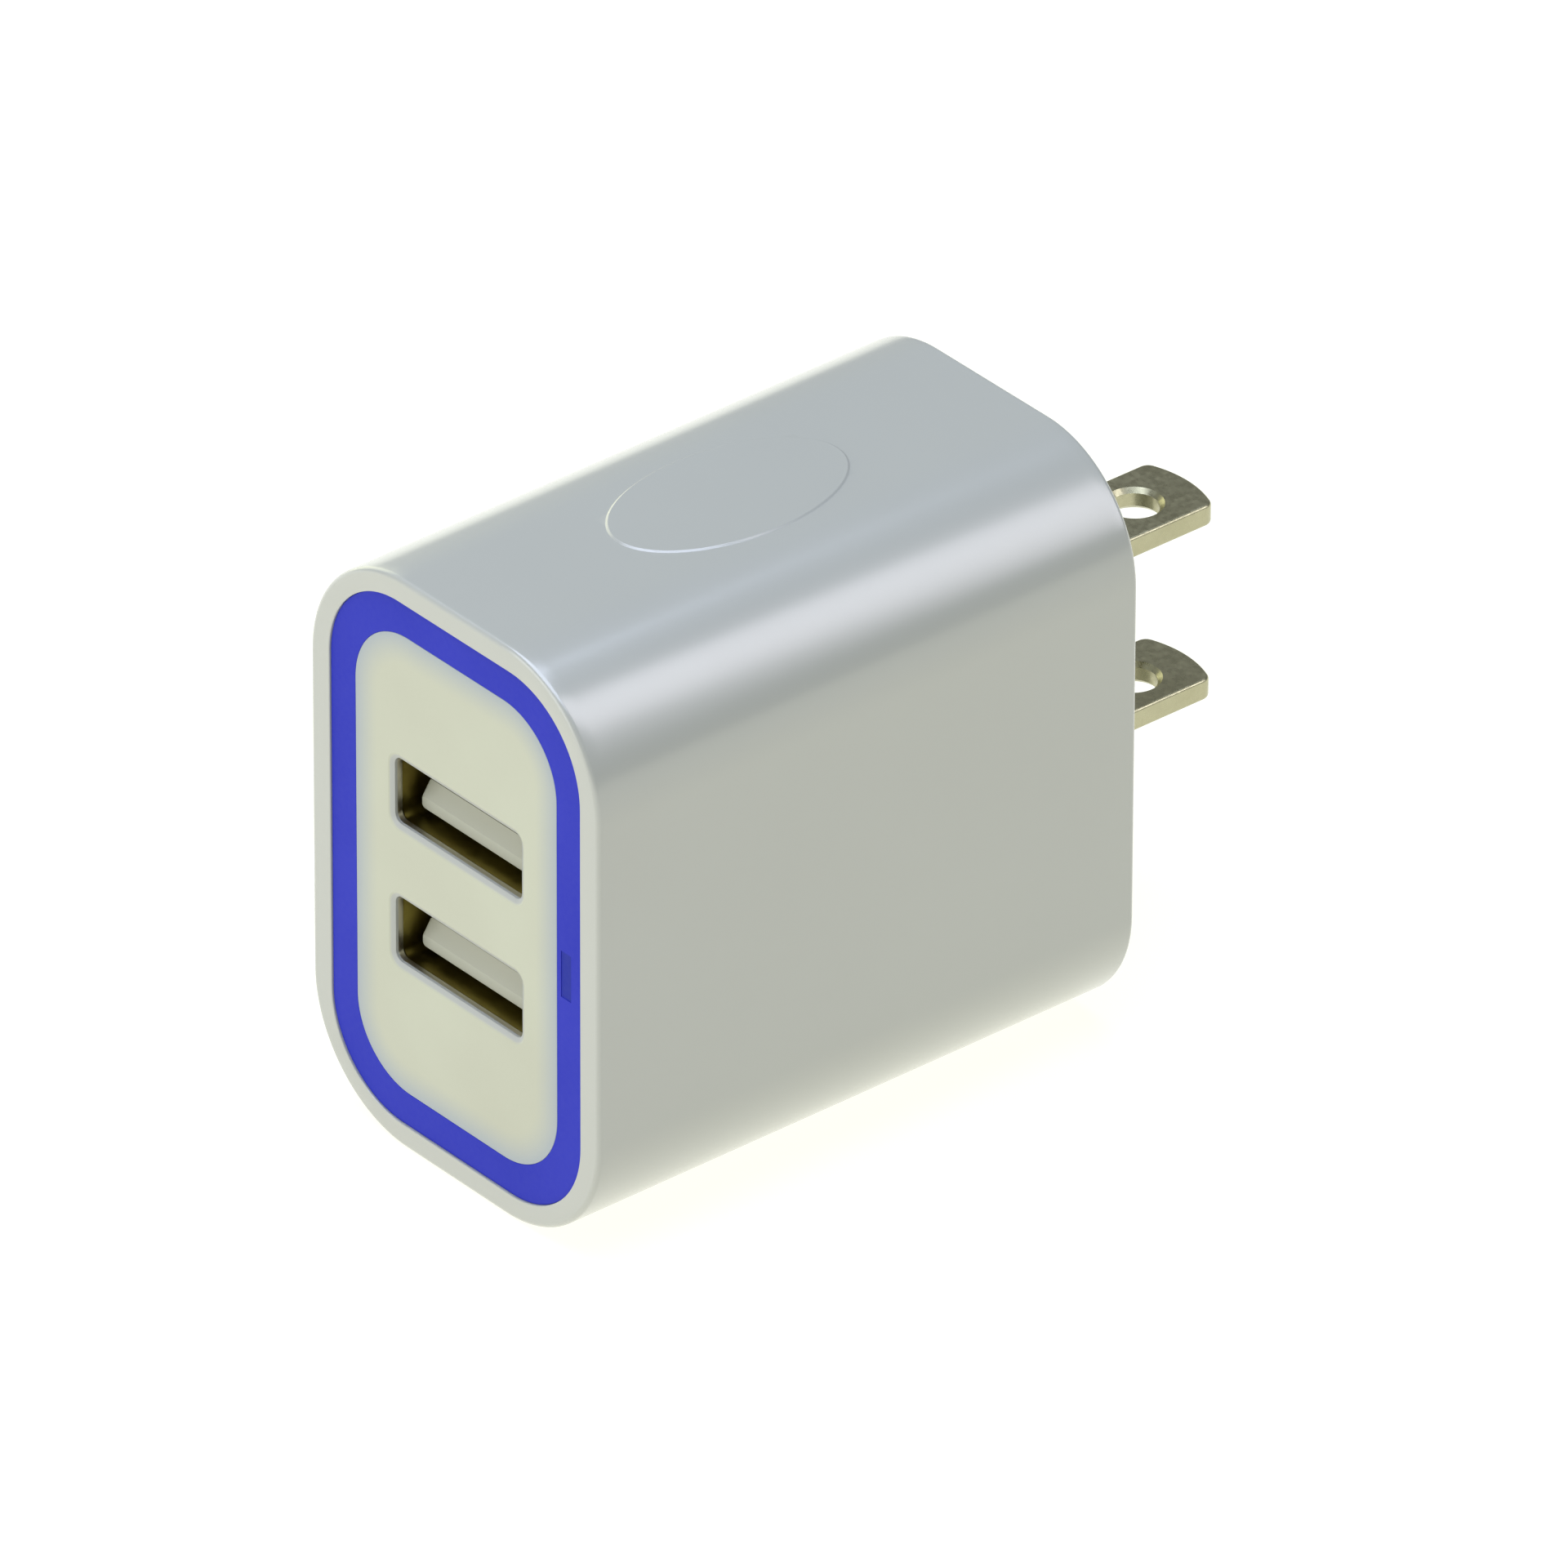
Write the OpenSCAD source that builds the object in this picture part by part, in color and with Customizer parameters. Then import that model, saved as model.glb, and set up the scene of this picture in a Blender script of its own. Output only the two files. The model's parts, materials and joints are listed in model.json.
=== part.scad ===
// USB wall charger: rounded housing, blue light ring, two stacked USB-A ports, two fixed outlet blades.
// Millimetres. X is to the right seen from the port side, Y runs from the ports to the blades, Z is up.
// The origin is the centre of the outlet face, midway between the blades.

/* [Housing] */
// width across the port face
body_w = 27.7; // [24:0.1:34]
// height of the port face
body_h = 41.1; // [36:0.1:50]
// depth from the port face to the outlet face
body_l = 43; // [38:0.5:52]
// radius of the four long edges
corner_r = 8.6; // [6:0.1:12]
// rounding of the front rim
front_edge_r = 0.4; // [0.4:0.1:1.2]
// rounding around the outlet face
back_edge_r = 0.4; // [0.2:0.1:2]
// thickness of the outlet wall
back_wall = 2.2; // [1.6:0.1:3]
// width of the oval on the top
oval_w = 10.2; // [6:0.1:14]
// length of the oval on the top
oval_l = 17.6; // [10:0.1:24]
// height of the raised oval
oval_step = 0.1; // [0.05:0.05:0.4]

/* [Light ring and panel] */
// width of the ring's outer outline
ring_w = 23.84; // [20:0.02:30]
// height of the ring's outer outline
ring_h = 37.5; // [32:0.1:46]
// outer corner radius of the ring
ring_r = 6.6; // [4:0.1:9]
// visible width of the blue band
ring_band = 2.28; // [1.5:0.02:3.5]
// corner radius inside the ring
ring_inner_r = 5.1; // [3:0.1:7]
// thickness of the ring, front to back
ring_t = 3; // [1:0.1:4]
// how far ring and panel sit behind the rim
front_inset = 0.15; // [0:0.05:0.6]

/* [USB ports] */
// vertical distance between the two ports
port_pitch = 10; // [9:0.1:14]
// width of the panel's opening
port_w = 12.2; // [12.2:0.1:13.4]
// height of the panel's opening
port_h = 4.7; // [4.6:0.05:5.8]
// inside width of the metal shell
shell_w = 12.5; // [12.4:0.05:12.7]
// inside height of the metal shell
shell_h = 5.12; // [5:0.02:5.3]
// sheet thickness of the shell
shell_t = 0.3; // [0.2:0.05:0.4]
// width of the tongue
tongue_w = 11.3; // [10.9:0.1:11.3]
// thickness of the tongue
tongue_t = 1.84; // [1.7:0.02:2]

/* [Blades] */
// distance between the blades' middle planes
blade_spacing = 12.7; // [12.6:0.05:12.8]
// width of a blade
blade_w = 6.35; // [6.1:0.05:6.6]
// thickness of a blade
blade_t = 1.5; // [1.4:0.05:1.65]
// length standing out of the outlet face
blade_out = 16; // [15.9:0.1:18.2]
// distance from the outlet face to the hole
hole_y = 11.6; // [11.5:0.1:12.3]
// radius of the hole
hole_r = 1.6; // [1.5:0.1:2]

/* [Hidden] */
$fn = 48;
eps = 0.02;
front_y = -body_l;
oval_y = front_y + body_l / 2 + 0.2;
panel_y = front_y + front_inset;
flange_y = panel_y + ring_t;
flange_t = 1.2;
cav_w = ring_w + 0.2;
cav_h = ring_h + 0.2;
cav_r = ring_r + 0.1;
boss_gap = 0.04;
boss_w = ring_w - 2 * ring_band - 2 * boss_gap;
boss_h = ring_h - 2 * ring_band - 2 * boss_gap;
port_z = port_pitch / 2;
blade_z = blade_spacing / 2;
// light pockets, on both upright sides of the ring
pocket_x = 10.52;
pocket_w = 0.95;
pocket_z = -0.5;
pocket_h = 3.5;
pocket_depth = 0.1;
guide_gap = 0.1;
// port receptacle
lip_t = 0.4;
shell_y = panel_y + lip_t;
board_y = -28;
board_t = 1.2;
base_y = -32.6;
tongue_y = -40.95;
tongue_z0 = -0.03 - tongue_t;
// sloping lead-in on top of the tongue's front
lead_in_l = 0.65;
lead_in_h = 0.98;
contact_xs = [-3.5, -1, 1, 3.5];
contact_w = 1;
contact_t = 0.2;
groove_w = 1.4;
groove_floor = -1.15;
groove_y = -40.2;
// pins behind the contacts
pin_w = 0.6;
pin_z = -0.75;
pin_t = 0.3;
// small board holding the ports
port_board_w = 22.4;
port_board_h = 28;
// upright main board, beside the left wall
main_x = -10.4;
main_t = 1.2;
part_x = main_x + main_t;
main_z = 16;
main_y1 = -6.6;
// blade roots and their carrier
carrier_w = 15;
carrier_h = 21;
carrier_y = -6.5;
slot_gap = 0.1;
root_w = 8.4;
root_y = [-5.2, -2.9];
tail_w = 4;
tail_y = -8.2;
// transformer
core_x = [-3, 3.5];
core_y = [-24, -10];
core_mid_y = -17;
core_z = 7;
leg_in_z = 5;
centre_leg_z = 1.75;
yoke_t = 2.5;
tube_t = 0.7;
winding_y = [-20.6, -13.4];
cheek_t = 0.8;
cheek_z = 4.9;
cheek_x = [-6, 6.5];
winding_x = [-5.4, 5.9];
winding_z = 4.5;
tape_t = 0.25;
// upright round parts on the main board: [y, z]
in_caps = [[-12.1, -12.3], [-21.4, -12.3]];
in_cap_r = 4;
in_cap_h = 12.5;
out_caps = [[-22.4, 12.3], [-15.9, 12.3]];
out_cap_r = 3.15;
out_cap_h = 11;
sleeve_t = 0.1;

// box between two corners
module span(a, b) {
  translate([min(a[0], b[0]), min(a[1], b[1]), min(a[2], b[2])])
    cube([abs(b[0] - a[0]), abs(b[1] - a[1]), abs(b[2] - a[2])]);
}

// round bar along Y
module bar_y(r, x, z, y0, y1) {
  translate([x, y0, z])
    rotate([-90, 0, 0])
      cylinder(r = r, h = y1 - y0);
}

// round bar along X
module bar_x(r, y, z, x0, x1) {
  translate([x0, y, z])
    rotate([0, 90, 0])
      cylinder(r = r, h = x1 - x0);
}

// round bar along Z
module bar_z(r, x, y, z0, z1) {
  translate([x, y, z0])
    cylinder(r = r, h = z1 - z0);
}

// prism along Y with rounded corners
module round_prism(w, h, r, y0, y1, z = 0) {
  span([-w / 2 + r, y0, z - h / 2], [w / 2 - r, y1, z + h / 2]);
  span([-w / 2, y0, z - h / 2 + r], [w / 2, y1, z + h / 2 - r]);
  for (sx = [-1, 1], sz = [-1, 1])
    bar_y(r, sx * (w / 2 - r), z + sz * (h / 2 - r), y0, y1);
}

// outline in depth of a wall reaching out by reach, rounded at its two outer corners
module depth_profile(reach, l, e0, e1) {
  translate([0, -l + e0])
    square([reach, l - e0 - e1]);
  translate([0, -l])
    square([reach - e0, e0]);
  translate([0, -e1])
    square([reach - e1, e1]);
  translate([reach - e0, -l + e0])
    circle(r = e0);
  translate([reach - e1, -e1])
    circle(r = e1);
}

// prism along Y from -l to 0, with round long edges and rounded end edges
module round_body(w, h, r, l, e0, e1) {
  for (turn = [0, 180])
    rotate([0, turn, 0]) {
      translate([w / 2 - r, 0, -h / 2 + r])
        linear_extrude(height = h - 2 * r)
          depth_profile(r, l, e0, e1);
      translate([-w / 2 + r, 0, 0])
        rotate([0, 90, 0])
          mirror([1, 0, 0])
            linear_extrude(height = w - 2 * r)
              depth_profile(h / 2, l, e0, e1);
      for (q = [0, 1])
        translate([w / 2 - r, 0, (1 - 2 * q) * (h / 2 - r)])
          rotate([0, 90 * q, 0])
            rotate([-90, 0, 0])
              mirror([0, 1, 0])
                rotate_extrude(angle = 90)
                  depth_profile(r, l, e0, e1);
    }
}

module housing() {
  color([0.86, 0.88, 0.86])
  difference() {
    round_body(body_w, body_h, corner_r, body_l, front_edge_r, back_edge_r);
    difference() {
      round_prism(cav_w, cav_h, cav_r, front_y - 1, -back_wall);
      // stops behind the panel flange, and rails under the main board
      for (sx = [-1, 1], sz = [-1, 1])
        span([sx * 10.8, flange_y + flange_t, sz * 7], [sx * 13, board_y, sz * 9]);
      for (sz = [-1, 1])
        span([-13, -26, sz * 11], [main_x, -7, sz * 13]);
    }
    for (sz = [-1, 1])
      span([-(blade_w + slot_gap) / 2, -back_wall - 1, sz * blade_z - (blade_t + slot_gap) / 2],
           [(blade_w + slot_gap) / 2, 1, sz * blade_z + (blade_t + slot_gap) / 2]);
  }
  translate([0, oval_y, body_h / 2 - 1])
    scale([1, oval_l / oval_w, 1])
      cylinder(r = oval_w / 2, h = 1 + oval_step);
}

module front_panel() {
  color([0.88, 0.87, 0.8])
  difference() {
    union() {
      round_prism(boss_w, boss_h, ring_inner_r - boss_gap, panel_y, flange_y + flange_t);
      round_prism(ring_w, ring_h, ring_r, flange_y, flange_y + flange_t);
    }
    for (sz = [-1, 1]) {
      round_prism(port_w, port_h, 0.6, panel_y - 1, shell_y + eps, sz * port_z);
      round_prism(shell_w + 2 * shell_t, shell_h + 2 * shell_t, 0.9,
                  shell_y, flange_y + flange_t + 1, sz * port_z);
    }
    for (sx = [-1, 1])
      span([sx * pocket_x - pocket_w / 2 - guide_gap, flange_y - 1, pocket_z - pocket_h / 2 - guide_gap],
           [sx * pocket_x + pocket_w / 2 + guide_gap, flange_y + flange_t + 1,
            pocket_z + pocket_h / 2 + guide_gap]);
  }
}

module light_ring() {
  color([0.25, 0.27, 0.72])
  difference() {
    round_prism(ring_w, ring_h, ring_r, panel_y, flange_y);
    round_prism(ring_w - 2 * ring_band, ring_h - 2 * ring_band, ring_inner_r,
                panel_y - 1, flange_y + 1);
    span([pocket_x - pocket_w / 2, panel_y - 1, pocket_z - pocket_h / 2],
         [pocket_x + pocket_w / 2, panel_y + pocket_depth, pocket_z + pocket_h / 2]);
  }
}

led_y = -29.4;

module light_guides() {
  color([0.85, 0.9, 0.95])
  for (sx = [-1, 1])
    span([sx * pocket_x - pocket_w / 2, flange_y, pocket_z - pocket_h / 2],
         [sx * pocket_x + pocket_w / 2, led_y, pocket_z + pocket_h / 2]);
}

module indicator_leds() {
  color([0.95, 0.93, 0.7])
  for (sx = [-1, 1])
    span([sx * pocket_x - 0.5, led_y, pocket_z - 1.4],
         [sx * pocket_x + 0.5, board_y, pocket_z + 1.4]);
}

// stamped shell: window and inward spring finger on the top and bottom, two legs at the back
module port_shell(z) {
  win_y = [-39.6, -34.4];
  win_w = 2;
  difference() {
    round_prism(shell_w + 2 * shell_t, shell_h + 2 * shell_t, 0.9, shell_y, board_y, z);
    round_prism(shell_w, shell_h, 0.6, shell_y - 1, board_y + 1, z);
    for (sx = [-1, 1])
      span([sx * 3.4 - win_w / 2, win_y[0], z - shell_h], [sx * 3.4 + win_w / 2, win_y[1], z + shell_h]);
  }
  for (sx = [-1, 1], sz = [-1, 1])
    translate([sx * 3.4, win_y[1] + 0.15, z + sz * (shell_h + shell_t) / 2])
      rotate([sz * 2.6, 0, 0])
        translate([-0.7, -4.6, -shell_t / 2])
          cube([1.4, 4.6, shell_t]);
  for (sx = [-1, 1])
    span([sx * shell_w / 2, board_y - 0.2, z - 0.6],
         [sx * (shell_w / 2 + shell_t), board_y + board_t + 0.8, z + 0.6]);
}

module upper_port_shell() {
  color([0.62, 0.6, 0.55])
  port_shell(port_z);
}

module lower_port_shell() {
  color([0.62, 0.6, 0.55])
  port_shell(-port_z);
}

// insulator: base block with the tongue that carries the contacts in grooves along its top
module port_tongue(z) {
  difference() {
    union() {
      round_prism(shell_w, shell_h, 0.6, base_y, board_y, z);
      translate([tongue_w / 2, 0, z + tongue_z0])
        rotate([90, 0, -90])
          linear_extrude(height = tongue_w)
            polygon([
              [-tongue_y, 0], [-tongue_y, tongue_t - lead_in_h],
              [-tongue_y - lead_in_l, tongue_t], [-base_y - 0.5, tongue_t], [-base_y - 0.5, 0]
            ]);
    }
    for (x = contact_xs) {
      span([x - groove_w / 2, groove_y, z + groove_floor], [x + groove_w / 2, base_y, z + 1]);
      span([x - pin_w / 2, base_y - 0.1, z + pin_z],
           [x + pin_w / 2, board_y + 1, z + pin_z + pin_t]);
    }
  }
}

module upper_port_tongue() {
  color([0.85, 0.85, 0.8])
  port_tongue(port_z);
}

module lower_port_tongue() {
  color([0.85, 0.85, 0.8])
  port_tongue(-port_z);
}

// one bowed leaf: [y, z] of its middle line from the root to the tip
leaf_line = [[-33, -0.6], [-35.6, -0.42], [-38.1, 0.22], [-38.8, 0.42], [-39.3, 0.3], [-39.85, -0.25]];

module port_contacts(z) {
  n = len(leaf_line);
  for (x = contact_xs)
    translate([x + contact_w / 2, 0, z])
      rotate([90, 0, -90])
        linear_extrude(height = contact_w)
          polygon([
            for (i = [0 : n - 1]) [-leaf_line[i][0], leaf_line[i][1] + contact_t / 2],
            for (i = [n - 1 : -1 : 0]) [-leaf_line[i][0], leaf_line[i][1] - contact_t / 2]
          ]);
}

module upper_port_contacts() {
  color([0.85, 0.7, 0.35])
  port_contacts(port_z);
}

module lower_port_contacts() {
  color([0.85, 0.7, 0.35])
  port_contacts(-port_z);
}

module port_pins(z) {
  for (x = contact_xs)
    span([x - pin_w / 2, base_y, z + pin_z],
         [x + pin_w / 2, board_y + board_t + 0.9, z + pin_z + pin_t]);
}

module upper_port_pins() {
  color([0.8, 0.68, 0.4])
  port_pins(port_z);
}

module lower_port_pins() {
  color([0.8, 0.68, 0.4])
  port_pins(-port_z);
}

link_zs = [-8, -6, 6, 8];
link_x = -8.9;
link_w = 0.6;

module port_board() {
  color([0.1, 0.4, 0.2])
  difference() {
    span([-port_board_w / 2, board_y, -port_board_h / 2],
         [port_board_w / 2, board_y + board_t, port_board_h / 2]);
    for (sz = [-1, 1]) {
      for (x = contact_xs)
        bar_y(0.5, x, sz * port_z + pin_z + pin_t / 2, board_y - 1, board_y + board_t + 1);
      for (sx = [-1, 1])
        span([sx * (shell_w / 2 - 0.2), board_y - 1, sz * port_z - 0.8],
             [sx * (shell_w / 2 + shell_t + 0.2), board_y + board_t + 1, sz * port_z + 0.8]);
    }
    for (z = link_zs)
      bar_y(0.55, link_x, z, board_y - 1, board_y + board_t + 1);
  }
}

// solder domes with a hollow for the pin
module port_board_solder() {
  color([0.75, 0.76, 0.78])
  for (sz = [-1, 1], x = contact_xs)
    translate([x, board_y + board_t, sz * port_z + pin_z + pin_t / 2])
      rotate([-90, 0, 0])
        difference() {
          cylinder(r1 = 0.8, r2 = 0.45, h = 0.7);
          translate([-pin_w / 2, -pin_t / 2, -1])
            cube([pin_w, pin_t, 3]);
        }
}

module port_controller() {
  color([0.12, 0.12, 0.13])
  span([-1.5, board_y - 1.1, -0.8], [1.5, board_y, 0.8]);
}

module board_link_pins() {
  color([0.8, 0.75, 0.5])
  for (z = link_zs)
    span([link_x - link_w / 2, board_y - 0.8, z - link_w / 2],
         [link_x + link_w / 2, board_y + board_t + 1.1, z + link_w / 2]);
}

module main_board() {
  color([0.1, 0.4, 0.2])
  span([main_x, board_y + board_t, -main_z], [part_x, main_y1, main_z]);
}

// half of an E core: dir is -1 for the front half, 1 for the rear half
module core_half(dir) {
  end_y = dir < 0 ? core_y[0] : core_y[1];
  span([core_x[0], end_y, -core_z], [core_x[1], end_y - dir * yoke_t, core_z]);
  for (sz = [-1, 1])
    span([core_x[0], end_y, sz * leg_in_z], [core_x[1], core_mid_y, sz * core_z]);
  span([core_x[0], end_y, -centre_leg_z], [core_x[1], core_mid_y, centre_leg_z]);
}

module core_front_half() {
  color([0.2, 0.2, 0.22])
  core_half(-1);
}

module core_rear_half() {
  color([0.2, 0.2, 0.22])
  core_half(1);
}

module transformer_bobbin() {
  color([0.1, 0.1, 0.1])
  difference() {
    union() {
      span([core_x[0] - tube_t, winding_y[0], -centre_leg_z - tube_t],
           [core_x[1] + tube_t, winding_y[1], centre_leg_z + tube_t]);
      for (y = [winding_y[0] - cheek_t, winding_y[1]]) {
        span([cheek_x[0], y, -cheek_z], [cheek_x[1], y + cheek_t, cheek_z]);
        span([part_x, y, -cheek_z], [cheek_x[0] + 1, y + cheek_t, cheek_z]);
      }
    }
    span([core_x[0] - eps, core_y[0], -centre_leg_z - eps],
         [core_x[1] + eps, core_y[1], centre_leg_z + eps]);
  }
}

module transformer_winding() {
  color([0.7, 0.35, 0.15])
  difference() {
    span([winding_x[0], winding_y[0], -winding_z], [winding_x[1], winding_y[1], winding_z]);
    span([core_x[0] - tube_t, winding_y[0] - 1, -centre_leg_z - tube_t],
         [core_x[1] + tube_t, winding_y[1] + 1, centre_leg_z + tube_t]);
  }
}

module transformer_tape() {
  color([0.85, 0.75, 0.2])
  difference() {
    span([winding_x[0] - tape_t, winding_y[0], -winding_z - tape_t],
         [winding_x[1] + tape_t, winding_y[1], winding_z + tape_t]);
    span([winding_x[0], winding_y[0] - 1, -winding_z], [winding_x[1], winding_y[1] + 1, winding_z]);
  }
}

// cans and their sleeves; the sleeve stops short of the can's end
module cans(places, r, h) {
  for (p = places)
    bar_x(r - sleeve_t, p[0], p[1], part_x, part_x + h);
}

module sleeves(places, r, h) {
  for (p = places)
    difference() {
      bar_x(r, p[0], p[1], part_x + 0.3, part_x + h - 0.2);
      bar_x(r - sleeve_t, p[0], p[1], part_x, part_x + h);
    }
}

module input_capacitor_cans() {
  color([0.75, 0.76, 0.78])
  cans(in_caps, in_cap_r, in_cap_h);
}

module input_capacitor_sleeves() {
  color([0.1, 0.12, 0.3])
  sleeves(in_caps, in_cap_r, in_cap_h);
}

module output_capacitor_cans() {
  color([0.75, 0.76, 0.78])
  cans(out_caps, out_cap_r, out_cap_h);
}

module output_capacitor_sleeves() {
  color([0.1, 0.3, 0.18])
  sleeves(out_caps, out_cap_r, out_cap_h);
}

module bridge_rectifier() {
  color([0.12, 0.12, 0.13])
  span([main_x - 1.3, -13, -6.5], [main_x, -9, -2]);
}

res_x = part_x + 1.8;
res_y = -25.1;

module fusible_resistor() {
  color([0.35, 0.5, 0.4])
  bar_z(1.3, res_x, res_y, -4.5, 2.5);
}

module resistor_leads() {
  color([0.75, 0.76, 0.78])
  for (s = [[-4.5, -5.4], [2.5, 3.4]]) {
    bar_z(0.25, res_x, res_y, min(s), max(s));
    bar_x(0.25, res_y, s[1], part_x, res_x + 0.25);
  }
}

module safety_capacitor() {
  color([0.2, 0.4, 0.65])
  bar_z(3.3, part_x + 3.3, -20, 7.25, 8.9);
}

ind_y = -9.4;
ind_z = 12.3;

module inductor_core() {
  color([0.2, 0.2, 0.22])
  union() {
    bar_x(2.6, ind_y, ind_z, part_x, part_x + 1);
    bar_x(1.4, ind_y, ind_z, part_x, part_x + 6);
    bar_x(2.6, ind_y, ind_z, part_x + 5, part_x + 6);
  }
}

module inductor_winding() {
  color([0.7, 0.35, 0.15])
  difference() {
    bar_x(2.3, ind_y, ind_z, part_x + 1, part_x + 5);
    bar_x(1.4, ind_y, ind_z, part_x, part_x + 6);
  }
}

module switching_controller() {
  color([0.12, 0.12, 0.13])
  span([main_x - 1.3, -20, -3], [main_x, -16, 2]);
}

module output_diode() {
  color([0.12, 0.12, 0.13])
  span([main_x - 1.3, -24, 4.5], [main_x, -20, 7.5]);
}

module chip_resistors() {
  color([0.1, 0.1, 0.1])
  for (y = [-24, -22.2, -14.6], z = [-8.6, 8.8])
    span([main_x - 0.5, y, z], [main_x, y + 0.8, z + 1.6]);
}

module chip_capacitors() {
  color([0.7, 0.6, 0.45])
  for (y = [-18.4, -12.4, -10.6], z = [3.6, 6.2])
    span([main_x - 0.8, y, z], [main_x, y + 0.8, z + 1.6]);
}

module main_board_solder() {
  color([0.75, 0.76, 0.78])
  for (p = concat(in_caps, out_caps), s = [-1, 1])
    translate([main_x, p[0] + s * 1.5, p[1] * 1.18])
      rotate([0, -90, 0])
        cylinder(r1 = 0.8, r2 = 0.3, h = 0.7);
}

module insulation_sheet() {
  color([0.9, 0.88, 0.75])
  span([part_x, -9.3, -7.8], [10.5, -9.1, 7.8]);
}

module blade_carrier() {
  color([0.2, 0.2, 0.22])
  difference() {
    span([-carrier_w / 2, carrier_y, -carrier_h / 2], [carrier_w / 2, -back_wall, carrier_h / 2]);
    for (sz = [-1, 1]) {
      span([-(blade_w + slot_gap) / 2, root_y[0], sz * blade_z - (blade_t + slot_gap) / 2],
           [(blade_w + slot_gap) / 2, 1, sz * blade_z + (blade_t + slot_gap) / 2]);
      span([-(root_w + slot_gap) / 2, root_y[0], sz * blade_z - (blade_t + slot_gap) / 2],
           [(root_w + slot_gap) / 2, root_y[1], sz * blade_z + (blade_t + slot_gap) / 2]);
      span([-(tail_w + slot_gap) / 2, carrier_y - 1, sz * blade_z - (blade_t + slot_gap) / 2],
           [(tail_w + slot_gap) / 2, root_y[0] + 0.1, sz * blade_z + (blade_t + slot_gap) / 2]);
    }
  }
}

// blade: arched tip with rounded corners, hole near the tip, wide root and narrow tail inside
module blade(z) {
  tip_r = 7.5;
  tip_corner_r = 0.8;
  tip_y = blade_out - tip_corner_r - 0.5;
  difference() {
    union() {
      span([-blade_w / 2, root_y[0], z - blade_t / 2], [blade_w / 2, tip_y, z + blade_t / 2]);
      span([-root_w / 2, root_y[0], z - blade_t / 2], [root_w / 2, root_y[1], z + blade_t / 2]);
      span([-tail_w / 2, tail_y, z - blade_t / 2], [tail_w / 2, root_y[0] + 0.1, z + blade_t / 2]);
      intersection() {
        bar_z(tip_r, 0, blade_out - tip_r, z - blade_t / 2, z + blade_t / 2);
        union() {
          span([-blade_w / 2 + tip_corner_r, 0, z - blade_t],
               [blade_w / 2 - tip_corner_r, blade_out + 1, z + blade_t]);
          for (sx = [-1, 1])
            bar_z(tip_corner_r, sx * (blade_w / 2 - tip_corner_r), tip_y, z - blade_t, z + blade_t);
        }
      }
    }
    bar_z(hole_r, 0, hole_y, z - blade_t, z + blade_t);
  }
}

module upper_blade() {
  color([0.78, 0.77, 0.7])
  blade(blade_z);
}

module lower_blade() {
  color([0.78, 0.77, 0.7])
  blade(-blade_z);
}

// strap from a blade's tail to the main board, on the blade's outer face
module blade_strap(s) {
  strap_t = 0.3;
  z0 = s * (blade_z + blade_t / 2);
  span([part_x, tail_y, z0], [tail_w / 2, main_y1 - 0.2, z0 + s * strap_t]);
  span([part_x, tail_y, z0 - s * 1.5], [part_x + strap_t, main_y1 - 0.2, z0 + s * strap_t]);
}

module upper_blade_strap() {
  color([0.85, 0.7, 0.35])
  blade_strap(1);
}

module lower_blade_strap() {
  color([0.85, 0.7, 0.35])
  blade_strap(-1);
}

housing();
front_panel();
light_ring();
light_guides();
indicator_leds();
upper_port_shell();
lower_port_shell();
upper_port_tongue();
lower_port_tongue();
upper_port_contacts();
lower_port_contacts();
upper_port_pins();
lower_port_pins();
port_board();
port_board_solder();
port_controller();
board_link_pins();
main_board();
core_front_half();
core_rear_half();
transformer_bobbin();
transformer_winding();
transformer_tape();
input_capacitor_cans();
input_capacitor_sleeves();
output_capacitor_cans();
output_capacitor_sleeves();
bridge_rectifier();
fusible_resistor();
resistor_leads();
safety_capacitor();
inductor_core();
inductor_winding();
switching_controller();
output_diode();
chip_resistors();
chip_capacitors();
main_board_solder();
insulation_sheet();
blade_carrier();
upper_blade();
lower_blade();
upper_blade_strap();
lower_blade_strap();
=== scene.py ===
"""Looks of a compact USB wall charger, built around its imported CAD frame."""

import json
import logging
import math
from dataclasses import dataclass
from enum import Enum
from functools import partial
from typing import Optional, Sequence

import bmesh
import bpy
import numpy as np
from mathutils import Matrix, Vector


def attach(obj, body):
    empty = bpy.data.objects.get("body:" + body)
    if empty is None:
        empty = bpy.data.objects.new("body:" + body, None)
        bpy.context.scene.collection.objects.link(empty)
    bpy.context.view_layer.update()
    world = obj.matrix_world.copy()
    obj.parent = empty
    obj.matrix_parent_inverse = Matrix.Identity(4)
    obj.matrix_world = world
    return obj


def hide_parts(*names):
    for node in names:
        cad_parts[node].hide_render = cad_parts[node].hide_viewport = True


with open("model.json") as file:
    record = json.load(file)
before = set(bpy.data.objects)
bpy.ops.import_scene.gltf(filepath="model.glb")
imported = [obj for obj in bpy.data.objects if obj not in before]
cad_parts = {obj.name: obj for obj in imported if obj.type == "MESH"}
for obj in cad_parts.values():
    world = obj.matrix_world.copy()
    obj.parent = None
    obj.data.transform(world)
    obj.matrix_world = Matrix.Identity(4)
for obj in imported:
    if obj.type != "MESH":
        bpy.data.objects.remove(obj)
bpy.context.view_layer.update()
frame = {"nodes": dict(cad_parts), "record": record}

LOG = logging.getLogger("charger")
MM = 0.001
TAU = 2 * math.pi
# heights in mm; steps are the points per corner and per straight side
PORT_Z = 5.0
BLADE_Z = 6.35
WALL_STEPS = (28, 10)
FACE_STEPS = (24, 10)
HOLE_STEPS = (12, 4)
# the part of a noise texture's values that is used
GRAIN = (0.3, 0.7)
Colour = tuple[float, float, float]
Size = tuple[float, float, float]
Vec3 = tuple[float, float, float]
Pair = tuple[float, float]
Array = np.ndarray
Object = bpy.types.Object


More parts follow.
